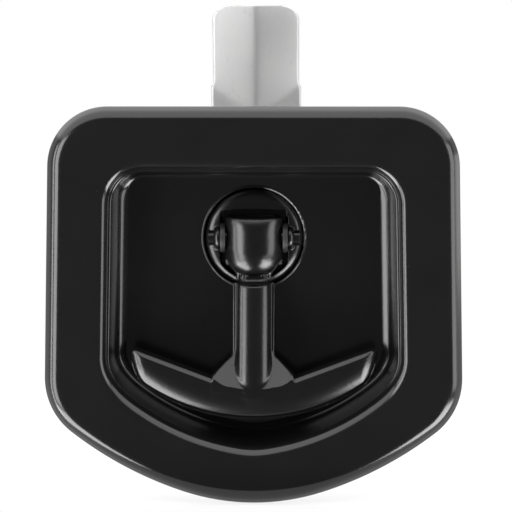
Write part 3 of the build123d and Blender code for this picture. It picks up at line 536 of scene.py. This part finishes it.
def cam(material):
    """The arm as a stack of cross sections up Z. Each is a thin rectangle with round corners, as wide as the
    outline there; on the nose it leans forward by lean * (z - start) and falls back from the ridge by
    fall * |x|, both eased over the width of the bend. Two smaller sections and a flat close the end."""
    hub, tip = CAM_HIGH[0], CAM_HIGH[2]
    shoulder = tip - CAM_NOSE_LENGTH
    lean = CAM_FALL * hub / CAM_RIDGE_RUN
    low = np.linspace(-math.pi / 2, 0, 24, endpoint=False)
    t = np.linspace(0, math.pi / 2, 14)
    z_arm = np.linspace(0, tip - CAM_TIP_CORNER, 90, endpoint=False)
    z_tip = tip - CAM_TIP_CORNER + (CAM_TIP_CORNER - CAM_EDGE) * np.sin(t)
    z = np.concatenate([hub * np.sin(low), z_arm, z_tip])[:, None]
    step = np.clip((z_arm - shoulder) / CAM_STEP + 0.5, 0, 1)
    half_arm = hub - (hub - CAM_NOSE_HALF) * step * step * (3 - 2 * step)
    half_tip = CAM_NOSE_HALF - CAM_TIP_CORNER + CAM_TIP_CORNER * np.cos(t)
    half = np.maximum(np.concatenate([hub * np.cos(low), half_arm, half_tip]), CAM_LEAST_HALF)

    u = np.linspace(-1, 1, 61)
    a = np.linspace(0, math.pi, 9)[1:-1]
    inside = half[:, None] - CAM_EDGE
    face, right = inside * u, inside + CAM_EDGE * np.sin(a)
    x = np.concatenate([face, right, face[:, ::-1], -right], axis=1)
    turn = 0.5 - 0.5 * np.cos(a)
    depth = np.concatenate([np.zeros(len(u)), turn, np.ones(len(u)), 1 - turn])
    ridge = np.sqrt(x**2 + CAM_RIDGE_EASE**2) - CAM_RIDGE_EASE
    offset = CAM_FALL * ridge - lean * (z - shoulder + CAM_RIDGE_RUN)
    bend = 0.5 * (offset - np.sqrt(offset**2 + CAM_BEND_EASE**2))
    y = np.maximum(CAM_HIGH[1] - CAM_THICKNESS + bend, CAM_LOW[1]) + CAM_THICKNESS * depth
    body = np.stack([x, y, np.broadcast_to(z, x.shape)], axis=-1)

    end = body[-1:]
    middle = end.mean(axis=1, keepdims=True)
    caps = []
    for share, lift in CAM_CAPS:
        cap = middle + (end - middle) * share
        cap[..., 0] = end[..., 0] * (0.8 + 0.2 * share)
        cap[..., 2] = end[..., 2] + lift
        caps.append(cap)
    ring = np.roll(caps[-1][0], (len(a) + 1) // 2, axis=0)
    halfway = len(ring) // 2
    top_cap = np.stack([ring[:halfway + 1], np.append(ring[halfway:], ring[:1], axis=0)[::-1]])
    bottom = np.broadcast_to(body[:1].mean(axis=1, keepdims=True), body[:1].shape)
    rows = np.concatenate([bottom, body] + caps)
    piece("cam_arm", [grid(rows, wrap_columns=True), grid(top_cap)], material, "rotor_body", "cam")


def even_skin(node, name, voxel):
    """A CAD piece resampled to a skin of even quads: the mesh, its points in millimetres and its edges."""
    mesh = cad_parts[node].data.copy()
    mesh.materials.clear()
    work = bmesh.new()
    work.from_mesh(mesh)
    bmesh.ops.remove_doubles(work, verts=work.verts, dist=WELD)
    work.to_mesh(mesh)
    work.free()
    rough = bpy.data.objects.new(name, mesh)
    bpy.context.scene.collection.objects.link(rough)
    remesh = rough.modifiers.new("skin", "REMESH")
    remesh.mode = "VOXEL"
    remesh.voxel_size = voxel * MM
    bpy.context.view_layer.update()
    even = bpy.data.meshes.new_from_object(rough.evaluated_get(bpy.context.evaluated_depsgraph_get()))
    bpy.data.objects.remove(rough)
    points = np.empty(len(even.vertices) * 3)
    even.vertices.foreach_get("co", points)
    edges = np.empty(len(even.edges) * 2, int)
    even.edges.foreach_get("vertices", edges)
    return even, points.reshape(-1, 3) / MM, edges.reshape(-1, 2)


def neighbour_middle(points, edges):
    """Middle of the neighbours of each point."""
    count = len(points)
    total = np.zeros_like(points)
    for axis in range(3):
        total[:, axis] = np.bincount(edges[:, 0], points[edges[:, 1], axis], count)
        total[:, axis] += np.bincount(edges[:, 1], points[edges[:, 0], axis], count)
    return total / np.bincount(edges.ravel(), minlength=count)[:, None]


def drawn_onto(distance, points, edges, eased=10, settled=4):
    """Points moved onto the surface where distance(points) is 0, by steps of -d * grad(d) / |grad(d)|^2. In
    the eased rounds each point first moves half the way to the middle of its neighbours."""
    probe, least_slope, longest = 0.02, 0.05, 0.8
    for turn in range(eased + settled):
        if turn < eased:
            points = 0.5 * points + 0.5 * neighbour_middle(points, edges)
        here = distance(points)
        rises = [distance(points + step) - distance(points - step) for step in probe * np.eye(3)]
        slope = np.stack(rises, axis=-1) / (2 * probe)
        reach = np.clip(here / np.maximum((slope**2).sum(axis=-1), least_slope), -longest, longest)
        points = points - reach[:, None] * slope
    return points


def join(first, second, blend):
    """Union of two distances with a fillet: the lesser one, and where they are within blend of each other it
    is lowered by near^2 * blend / 4."""
    near = np.maximum(blend - np.abs(first - second), 0) / blend
    return np.minimum(first, second) - near**2 * blend / 4


def meet(first, second, blend):
    """Common part of two distances with a rounded edge."""
    return -join(-first, -second, blend)


def crown(shares, depth, bend, scale):
    """Distance for a front edge that falls away roundly. Each share is 0 where the front is flat and 1 at the
    outline; with v = 1 - depth / bend, not below 0, the surface is where the squares of all add up to 1."""
    total = np.maximum(1 - depth / bend, 0) ** 2
    for share in shares:
        total = total + np.maximum(share, 0) ** 2
    return (np.sqrt(total) - 1) * scale


def plan_corner(first, second, radius):
    """Distance inside two edges whose corner has this radius: the crown of 1 - distance / radius for both."""
    return crown([1 - first / radius, 1 - second / radius], radius, radius, radius)


# Handle

def head_distance(x, y, z):
    """Barrel front of radius R, r = sqrt(x^2 + (y - front - R)^2), that rolls back towards the top on a wide
    arc and falls away to a bottom edge that rises by bow * x^2; behind it the square heel on the pin."""
    side = np.abs(x) - HEAD_HALF
    centre = HEAD_FRONT + HEAD_BARREL
    barrel = np.where(y < centre, np.hypot(x, y - centre), np.abs(x)) - HEAD_BARREL
    behind = y - centre + np.sqrt(np.maximum(HEAD_BARREL**2 - x**2, 0))
    low = 1 - (z - HEAD_BOTTOM - HEAD_BOTTOM_BOW * x**2) / HEAD_BOTTOM_CROWN
    near = np.clip((low - HEAD_BOTTOM_CORNER_START) / (1 - HEAD_BOTTOM_CORNER_START), 0, 1)
    corner = (side / HEAD_BOTTOM_CORNER + 1) * np.sqrt(near)
    left = HEAD_BACK + HEAD_BOTTOM_REACH - centre + np.sqrt(np.maximum(HEAD_BARREL**2 - x**2, 0))
    bottom = crown([low, corner], behind, HEAD_BOTTOM_BEND * np.maximum(left, HEAD_LEAST_DEPTH), scale=4.0)
    above = np.maximum(z - HEAD_ROLL_START - HEAD_ROLL_BOW * x**2, 0)
    roll = np.hypot(np.maximum(HEAD_ROLL - behind, 0), above) - HEAD_ROLL
    fore = meet(meet(barrel, side, HEAD_EDGE), meet(roll, z - HEEL_HALF, FINE_EDGE), CRISP_EDGE)
    fore = np.maximum(np.maximum(fore, bottom), y - HEAD_BACK - HEAD_LAP)
    underside = (-HEEL_HALF - z) * UNDERSIDE[0] + (y - HEEL_BACK) * UNDERSIDE[1]
    lower = meet(HEEL_BOTTOM - z, underside / math.hypot(*UNDERSIDE), CAST_EDGE)
    in_y = np.maximum(y - HEEL_BACK + HEEL_CORNER, 0)
    in_z = np.maximum(z - HEEL_HALF + HEEL_CORNER, 0)
    heel = np.maximum(np.hypot(in_y, in_z) - HEEL_CORNER, np.maximum(y - HEEL_BACK, z - HEEL_HALF))
    heel = meet(meet(heel, lower, HEEL_EDGE), meet(side, HEAD_BACK - y, CAST_EDGE), HEAD_EDGE)
    return join(fore, heel, CAST_EDGE)


def stem_front(z):
    """Depth of the stem's front, which comes forward evenly until it is level with the bar's, and sinks into
    the bar below its upper edge."""
    sunk = STEM_SINK * np.maximum(STEM_SINK_TOP - z, 0)
    return np.maximum(STEM_TOP_FRONT + STEM_SLOPE * (z - STEM_TOP), BAR_FRONT) + sunk


def stem_distance(x, y, z):
    """Stem whose section is a half ellipse, x^2 / a^2 + (1 - depth / b)^2 = 1, with an end that faces up and
    a thin wider base behind it."""
    back = np.interp(-z, (-STEM_TOP, -WEB_FOOT_Z), (HEAD_BACK, BAR_BACK))
    body = crown([np.abs(x) / STEM_HALF], y - stem_front(z), STEM_BEND, scale=3.0)
    end = (z - STEM_TOP - STEM_END_SLOPE * (y - STEM_TOP_FRONT)) / math.hypot(1, STEM_END_SLOPE)
    body = np.maximum(meet(body, end, STEM_END_EDGE), y - back + STEM_BACK_GAP)
    outline = meet(np.abs(x) - BASE_HALF, z - BASE_TOP, CAST_EDGE)
    base = meet(outline, meet(back - BASE_DEPTH - y, y - back, FINE_EDGE), FINE_EDGE)
    return np.maximum(join(body, base, STEM_SEAM), STEM_BOTTOM - z)


def neck_distance(x, y, z):
    """Waist between the head and the stem, set back from both: the greatest distance from its flat sides."""
    across = meet(np.abs(x) - STEM_HALF, NECK_FRONT - y, CAST_EDGE)
    along = np.maximum(z - HEEL_BOTTOM, STEM_TOP - NECK_LAP - z)
    return np.maximum(np.maximum(across, y - HEAD_BACK), along)


def bar_distance(x, y, z):
    """Swept bar: an arc below, R - sqrt(x^2 + (z - bottom - R)^2), with a wide crown, sloping upper edges
    with a bevel, round tips, and a thin base that stands a little proud of it all round."""
    lower = BAR_ARC - np.hypot(x, z - BAR_BOTTOM - BAR_ARC)
    upper = (BAR_TIP_TOP + (np.abs(x) - BAR_HALF) * math.tan(BAR_SLOPE) - z) * math.cos(BAR_SLOPE)
    tip = BAR_HALF - np.abs(x)
    depth = y - BAR_FRONT
    falls = [1 - (lower - BAR_STEP) / BAR_CROWN, 1 - (tip - BAR_LIP) / BAR_TIP_CROWN]
    wide = crown([BAR_CROWN_SHARE * fall for fall in falls], depth, BAR_CROWN_BEND, scale=3.5)
    foot = plan_corner(lower - BAR_STEP, tip - BAR_LIP, BAR_LOW_CORNER)
    bevel = (BAR_BEVEL_SLOPE * (BAR_BEVEL + BAR_LIP - upper) - depth) / math.hypot(1, BAR_BEVEL_SLOPE)
    side = plan_corner(upper - BAR_LIP, tip - BAR_LIP, BAR_TOP_CORNER)
    body = np.maximum(meet(wide, foot, BAR_EDGE), meet(bevel, side, BEVEL_EDGE))
    body = meet(body, -depth, BAR_EDGE)
    outline = np.maximum(plan_corner(lower, tip, BAR_LOW_CORNER), plan_corner(upper, tip, BAR_TOP_CORNER))
    base = meet(outline, BAR_BACK - BASE_DEPTH - y, FINE_EDGE)
    return meet(join(body, base, CRISP_EDGE), y - BAR_BACK, CAST_EDGE)


def web_distance(x, y, z):
    """Three-cornered web on each side. Its front is a ramp back and up to its free edge from the bar's front,
    where it starts along a line beside the stem and then along the curve z = low + bow * (|x| - turn)^2."""
    along = WEB_TOP - WEB_FOOT
    away = np.array([-along[1], along[0]]) / -np.hypot(*along)
    ax = np.abs(x)
    free = (ax - WEB_FOOT_X) * away[0] + (z - WEB_FOOT_Z) * away[1]
    beyond = ax - WEB_TURN
    low = WEB_FOOT_Z - WEB_SAG + np.where(beyond > 0, WEB_BOW * beyond**2, WEB_RISE * beyond)
    ramp = (BAR_FRONT + WEB_RAMP * (z - low) - y) / math.hypot(1, WEB_RAMP)
    ramp = np.maximum(np.maximum(ramp, BAR_FRONT + WEB_SET_BACK - y), ax - WEB_FOOT_X - WEB_LAP)
    plate = meet(meet(free, ramp, CAST_EDGE), y - BAR_BACK, CAST_EDGE)
    return np.maximum(plate, WEB_BOTTOM - z)


def handle_distance(points):
    """Distance to the cast handle: its parts joined with fillets, less the hole for the pin."""
    x, y, z = points.T
    arm = join(bar_distance(x, y, z), web_distance(x, y, z), CRISP_EDGE)
    arm = join(arm, stem_distance(x, y, z), STEM_FILLET)
    whole = join(arm, neck_distance(x, y, z), NECK_SEAM)
    whole = join(whole, head_distance(x, y, z), CAST_EDGE)
    hole = np.hypot(y - PIN_Y, z) - PIN_HOLE
    return meet(whole, -hole, FINE_EDGE)


def skin_piece(mesh, points, name, material, body, node):
    """The resampled mesh with its points moved, as a piece that stands for the CAD node."""
    mesh.name = name
    mesh.vertices.foreach_set("co", (points * MM).ravel())
    mesh.update()
    stand_in(mesh, name, material, body, node)


def handle(material):
    """The casting, on an even skin drawn onto its surface."""
    even, points, edges = even_skin("handle", "handle_casting", HANDLE_SKIN)
    points = drawn_onto(handle_distance, points, edges)
    points = np.clip(points, HANDLE_LOW, HANDLE_HIGH)
    skin_piece(even, points, "handle_casting", material, "handle_body", "handle")


def rotor(material):
    """The turret as the CAD has it, with each point moved towards and away from its neighbours by turns. Its
    face edge is drawn inwards onto the ellipse (across / width)^2 + (along / depth)^2 = 1."""
    even, points, edges = even_skin("rotor", "rotor_casting", ROTOR_SKIN)
    for share in ROTOR_EASE * ROTOR_EASE_ROUNDS:
        points = points + share * (neighbour_middle(points, edges) - points)
    out, fore = np.hypot(points[:, 0], points[:, 2]), points[:, 1] - ROTOR_FRONT
    across = np.maximum(out - ROTOR_RADIUS + ROTOR_EDGE_WIDTH, 0)
    along = np.maximum(ROTOR_EDGE_DEPTH - fore, 0)
    reach = np.hypot(across / ROTOR_EDGE_WIDTH, along / ROTOR_EDGE_DEPTH)
    pull = 1 / np.maximum(reach, 1)
    edge = (across > 0) & (along > 0) & (fore > -ROTOR_FACE_SLACK)
    inwards = np.where(edge, (ROTOR_RADIUS - ROTOR_EDGE_WIDTH + across * pull) / np.maximum(out, 1e-6), 1)
    points = points * np.stack([inwards, np.ones(len(points)), inwards], axis=-1)
    points[edge, 1] = ROTOR_FRONT + ROTOR_EDGE_DEPTH - (along * pull)[edge]
    points = np.clip(points, ROTOR_LOW, ROTOR_HIGH)
    skin_piece(even, points, "rotor_casting", material, "rotor_body", "rotor")


def hardware(node, material, edge=0.15):
    """A CAD piece kept as it is, with its edges broken and its faces shaded evenly."""
    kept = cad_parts[node]
    kept.data.materials.clear()
    kept.data.materials.append(material)
    weld = kept.modifiers.new("weld", "WELD")
    weld.merge_threshold = WELD
    bevel = kept.modifiers.new("edge", "BEVEL")
    bevel.width = edge * MM
    bevel.segments = 2
    bevel.limit_method = "ANGLE"
    bevel.angle_limit = math.radians(40)
    even = kept.modifiers.new("even", "WEIGHTED_NORMAL")
    even.keep_sharp = True
    kept.data.shade_smooth()


# Materials

class Socket:
    """An output of a shader node that takes part in arithmetic; each sign adds its Math node."""

    def __init__(self, graph, link):
        self.graph = graph
        self.link = link

    def __add__(self, other):
        return self.graph.math("ADD", self, other)

    __radd__ = __add__

    def __rsub__(self, other):
        return self.graph.math("SUBTRACT", other, self)

    def __mul__(self, other):
        return self.graph.math("MULTIPLY", self, other)

    __rmul__ = __mul__

    def __pow__(self, other):
        return self.graph.math("POWER", self, other)


class Graph:
    """The nodes of one material."""

    def __init__(self, name, tree=None):
        if tree is None:
            self.material = bpy.data.materials.new(name)
            self.material.use_nodes = True
            tree = self.material.node_tree
        self.tree = tree
        self.tree.nodes.clear()

    def add(self, kind, settings, sockets, output=0):
        """Adds a node, makes its settings, sets or links its sockets, and returns one of its outputs."""
        node = self.tree.nodes.new(kind)
        for name, value in settings.items():
            setattr(node, name, value)
        for name, value in sockets.items():
            if isinstance(value, Socket):
                self.tree.links.new(value.link, node.inputs[name])
            else:
                node.inputs[name].default_value = value
        return Socket(self, node.outputs[output]) if node.outputs else None

    def math(self, operation, first, second):
        return self.add("ShaderNodeMath", {"operation": operation}, {0: first, 1: second})

    def place(self):
        """Object coordinates, in metres."""
        return self.add("ShaderNodeTexCoord", {}, {}, "Object")

    def axes(self):
        """Object coordinates one by one, in millimetres."""
        node = self.add("ShaderNodeSeparateXYZ", {}, {0: self.place()})
        return [Socket(self, node.link.node.outputs[i]) * (1 / MM) for i in range(3)]

    def noise(self, size, detail=2.0, stretch=(1, 1, 1)):
        """Noise from 0 to 1 whose lumps are about this many millimetres across."""
        scaled = self.add("ShaderNodeMapping", {}, {"Vector": self.place(), "Scale": stretch})
        sockets = {"Vector": scaled, "Scale": 1 / (size * MM), "Detail": detail}
        return self.add("ShaderNodeTexNoise", {}, sockets)

    def specks(self, size):
        """Distance to the nearest of scattered points, as a share of their spacing."""
        return self.add("ShaderNodeTexVoronoi", {}, {"Vector": self.place(), "Scale": 1 / (size * MM)})

    def step(self, value, low, high):
        """Smooth rise from 0 at low to 1 at high."""
        limits = {"Value": value, "From Min": low, "From Max": high}
        return self.add("ShaderNodeMapRange", {"interpolation_type": "SMOOTHSTEP"}, limits)

    def mix(self, share, first, second):
        """Colour between two colours."""
        return self.add("ShaderNodeMix", {"data_type": "RGBA"}, {0: share, 6: first, 7: second}, 2)

    def bump(self, height, depth, under=None):
        """Normal of a surface that rises by depth in millimetres where height goes from 0 to 1."""
        sockets = {"Height": height, "Distance": depth * MM}
        if under:
            sockets["Normal"] = under
        return self.add("ShaderNodeBump", {}, sockets)

    def white_rays(self, share):
        """1 where the camera looks straight at the white, and this share of it in gloss and through glass."""
        kinds = ("Camera", "Glossy", "Transmission")
        rays = [self.add("ShaderNodeLightPath", {}, {}, f"Is {kind} Ray") for kind in kinds]
        return rays[0] + (1 - rays[0]) * share * self.math("MAXIMUM", rays[1], rays[2])

    def surface(self, **sockets):
        """The material, from the sockets of its Principled shader."""
        names = {name.replace("_", " ").title(): value for name, value in sockets.items()}
        names = {name.replace("Ior", "IOR"): value for name, value in names.items()}
        shader = self.add("ShaderNodeBsdfPrincipled", {}, names)
        self.add("ShaderNodeOutputMaterial", {}, {"Surface": shader})
        return self.material


def grey(level, warm=0.0):
    """Linear colour of this brightness, a little warm or cool."""
    return (level * (1 + warm), level, level * (1 - warm), 1)


def scraped_lip(g):
    """1 where the coat is scraped off the raised lip beside the turret, with a ragged edge, else 0."""
    x, y, z = g.axes()
    radius = (x * x + z * z) ** 0.5
    ragged = radius + 0.9 * g.noise(0.9, detail=3.0)
    lip = 1 - g.step(ragged, CUP_RADIUS + 0.75, CUP_RADIUS + 0.95)
    side = g.step(x, 2.5, 6.0) * g.step(z, -3.0, 0.0)
    return lip * side * g.step(y, FLOOR_FRONT - 1.0, FLOOR_FRONT - 0.5)


def black_coat(name, shade=0.0048, peel_depth=0.005, gloss=0.13, torn=False):
    """Gloss black powder coat: fine orange peel, a slow change of shade, a few specks of dust, and bare metal
    at the scraped lip where it is torn."""
    g = Graph(name)
    peel = g.noise(0.75, detail=1.0)
    fine = g.noise(0.22, detail=1.0)
    cloud = g.noise(14)
    dust = 1 - g.step(g.specks(4.5), 0.018, 0.03)
    colour = g.mix(cloud, grey(shade * 0.8, 0.02), grey(shade * 1.2, -0.01))
    colour = g.mix(dust * 0.35, colour, grey(0.12))
    rough = gloss + 0.04 * fine + 0.03 * cloud
    normal = g.bump(peel, peel_depth, g.bump(fine, 0.0012))
    metal = 0.0
    if torn:
        bare = scraped_lip(g)
        colour = g.mix(bare * 0.9, colour, grey(0.42))
        rough = rough + 0.2 * bare
        metal = 0.5 * bare
    return g.surface(base_color=colour, roughness=rough, metallic=metal, normal=normal, ior=1.5)


def zinc(name, shade=0.62, roughness=0.36, metal=0.75):
    """Dull zinc plate: cloudy shade, faint streaks along the arm, small dents and handling marks."""
    g = Graph(name)
    cloud = g.noise(7, detail=3.0)
    streak = g.noise(0.5, detail=3.0, stretch=(1, 1, 0.06))
    dent = g.noise(2.2)
    marks = g.step(g.noise(1.3, detail=4.0, stretch=(1, 1, 0.4)), 0.62, 0.72)
    colour = g.mix(cloud, grey(shade * 0.93, -0.01), grey(shade * 1.05, 0.01))
    colour = g.mix(marks * 0.25, colour, grey(shade * 0.6))
    rough = roughness + 0.08 * cloud + 0.06 * streak
    normal = g.bump(dent, 0.03, g.bump(streak, 0.003))
    return g.surface(base_color=colour, roughness=rough, metallic=metal, normal=normal)


def steel(name, shade=0.45, roughness=0.28):
    """Bright drawn steel with fine streaks and a thin film of oil."""
    g = Graph(name)
    streak = g.noise(0.2, detail=3.0, stretch=(1, 0.1, 1))
    cloud = g.noise(3)
    colour = g.mix(cloud, grey(shade * 0.85, 0.01), grey(shade * 1.1))
    rough = roughness + 0.1 * streak
    return g.surface(base_color=colour, roughness=rough, metallic=0.95, normal=g.bump(streak, 0.002))


def bronze(name):
    """Sintered bronze with open pores."""
    g = Graph(name)
    pores = g.noise(0.12, detail=3.0)
    colour = g.mix(pores, (0.36, 0.2, 0.07, 1), (0.55, 0.34, 0.14, 1))
    rough = 0.35 + 0.2 * pores
    return g.surface(base_color=colour, roughness=rough, metallic=0.9, normal=g.bump(pores, 0.006))


def rubber(name):
    """Matt black rubber with a fine grain and a dusty bloom."""
    g = Graph(name)
    grain = g.noise(0.25, detail=3.0)
    bloom = g.noise(6, detail=3.0)
    colour = g.mix(bloom, grey(0.011), grey(0.022, 0.01))
    return g.surface(base_color=colour, roughness=0.62 + 0.2 * grain, normal=g.bump(grain, 0.012))


def nylon(name):
    """Black moulded nylon with a soft grain."""
    g = Graph(name)
    grain = g.noise(0.4)
    colour = g.mix(grain, grey(0.014), grey(0.022))
    return g.surface(base_color=colour, roughness=0.38 + 0.12 * grain, normal=g.bump(grain, 0.006))


# Studio

def camera():
    """Camera on a line of sight through the aim point, as far off as the photograph's perspective shows."""
    az, el = math.radians(CAMERA_AZIMUTH), math.radians(CAMERA_ELEVATION)
    away = np.array([-math.sin(az) * math.cos(el), -math.cos(az) * math.cos(el), math.sin(el)])
    place = Vector((np.array(AIM) + away * CAMERA_DISTANCE) * MM)
    data = bpy.data.cameras.new("camera")
    data.sensor_width = 36.0
    data.lens = data.sensor_width * CAMERA_DISTANCE / FRAME_WIDTH
    data.clip_start = 0.01
    view = bpy.data.objects.new("camera", data)
    turn = Vector(-away).to_track_quat("-Z", "Y").to_matrix().to_4x4()
    view.matrix_world = Matrix.Translation(place) @ turn
    bpy.context.scene.collection.objects.link(view)
    bpy.context.scene.camera = view


def lamp(name, place, aim, width, height, brightness):
    """Soft panel light, in metres; brightness is what a mirror of it would show, with white as 1."""
    data = bpy.data.lights.new(name, "AREA")
    data.shape = "RECTANGLE"
    data.size = width
    data.size_y = height
    data.energy = brightness * math.pi * width * height
    light = bpy.data.objects.new(name, data)
    turn = (Vector(aim) - Vector(place)).to_track_quat("-Z", "Y").to_matrix().to_4x4()
    light.matrix_world = Matrix.Translation(place) @ turn
    bpy.context.scene.collection.objects.link(light)


def studio():
    """One wide panel overhead and upright strips at the left and right, on white."""
    lamp("overhead", (0.0, 0.02, 0.55), (0.0, 0.02, 0.0), 2.2, 1.4, 2.3)
    for name, angle, rise, width, height, brightness in (
        ("left_front", -50, -2, 0.32, 0.74, 7.6),
        ("left_low", -57, -47, 0.52, 0.46, 11.0),
        ("left_side", -74, -15, 0.14, 1.14, 8.5),
        ("right_front", 66, 2, 0.40, 0.58, 4.2),
        ("right_low", 62, -40, 0.61, 0.37, 13.0),
        ("right_side", 98, -16, 0.44, 0.80, 2.2),
    ):
        a, b = math.radians(angle), math.radians(rise)
        away = Vector((math.sin(a) * math.cos(b), -math.cos(a) * math.cos(b), math.sin(b)))
        lamp(name, 0.8 * away, (0.0, 0.0, 0.0), width, height, brightness)
    world = bpy.data.worlds.new("studio")
    bpy.context.scene.world = world
    world.use_nodes = True
    g = Graph("studio", world.node_tree)
    direction = g.add("ShaderNodeTexCoord", {}, {}, "Generated")
    along = g.add("ShaderNodeSeparateXYZ", {}, {0: direction}, "Y")
    behind = g.step(along, -0.2, 0.35)
    dim = 0.12 + 0.58 * behind
    white = g.white_rays(behind)
    shader = g.add("ShaderNodeBackground", {}, {"Color": grey(1.0), "Strength": dim + (1 - dim) * white})
    g.add("ShaderNodeOutputWorld", {}, {"Surface": shader})


def white_floor():
    """Pale floor under the plate and behind it. Near the object a part of its light is the lamps', so that it
    keeps the shade; further off it is plain white."""
    g = Graph("white_floor")
    x, y, _ = g.axes()
    far = g.step((x * x + y * y) ** 0.5, 120.0, 420.0)
    diffuse = g.add("ShaderNodeBsdfDiffuse", {}, {"Color": grey(0.8)})
    glow = g.add("ShaderNodeEmission", {}, {"Color": grey(1.0), "Strength": 1.0})
    share = g.white_rays(1.0) * (0.75 + 0.25 * far)
    shader = g.add("ShaderNodeMixShader", {}, {0: share, 1: diffuse, 2: glow})
    g.add("ShaderNodeOutputMaterial", {}, {"Surface": shader})
    mesh = bpy.data.meshes.new("floor")
    level = (PAN_LOW[2] - 0.1) * MM
    front, reach = -0.012, 3.0
    corners = [(-reach, front, level), (reach, front, level), (reach, reach, level), (-reach, reach, level)]
    mesh.from_pydata(corners, [], [(0, 1, 2, 3)])
    mesh.materials.append(g.material)
    floor = bpy.data.objects.new("floor", mesh)
    bpy.context.scene.collection.objects.link(floor)


camera()
studio()
white_floor()
bpy.context.scene.view_settings.view_transform = "Standard"

# Handle and turret get their own copy of the coat, with a coarser peel and a little less gloss. Its shade,
# darker than the pan's, is painted shade that offsets the extra lamp light these parts catch.
coat = black_coat("black_powder_coat", shade=0.0026, peel_depth=0.02, gloss=0.2)
zinc_plate = zinc("zinc_plate", shade=0.45, roughness=0.42, metal=0.6)
bright_steel = steel("bright_steel")
dark_steel = steel("dark_steel", 0.12, 0.32)

pan(black_coat("black_powder_coat_torn", torn=True))
threaded_studs(zinc("zinc_studs", 0.5, 0.3))
spring(bright_steel)
cam(zinc_plate)
handle(coat)
rotor(coat)
hardware("gasket", rubber("gasket_rubber"), 0.2)
hardware("rotor_seal", rubber("seal_rubber"), 0.05)
hardware("bearing_bush", bronze("sintered_bronze"))
hardware("stop_plate", zinc("zinc_stop_plate", 0.5, 0.34))
hardware("stop_washer", zinc("zinc_stop_washer", 0.42, 0.36))
hardware("thrust_washer", nylon("thrust_nylon"))
hardware("pivot_spacers", nylon("spacer_nylon"))
hardware("handle_pin", coat)
hardware("detent_leaf", bright_steel, 0.05)
hardware("leaf_rivet", bright_steel, 0.05)
hardware("spring_retainer", zinc("zinc_retainer", 0.46, 0.34))
hardware("retaining_ring", dark_steel, 0.1)
hardware("cam_washer", zinc("zinc_washer", 0.52, 0.3))
hardware("lock_washer", dark_steel)
hardware("cam_screw", zinc("zinc_screw", 0.5, 0.26), 0.3)
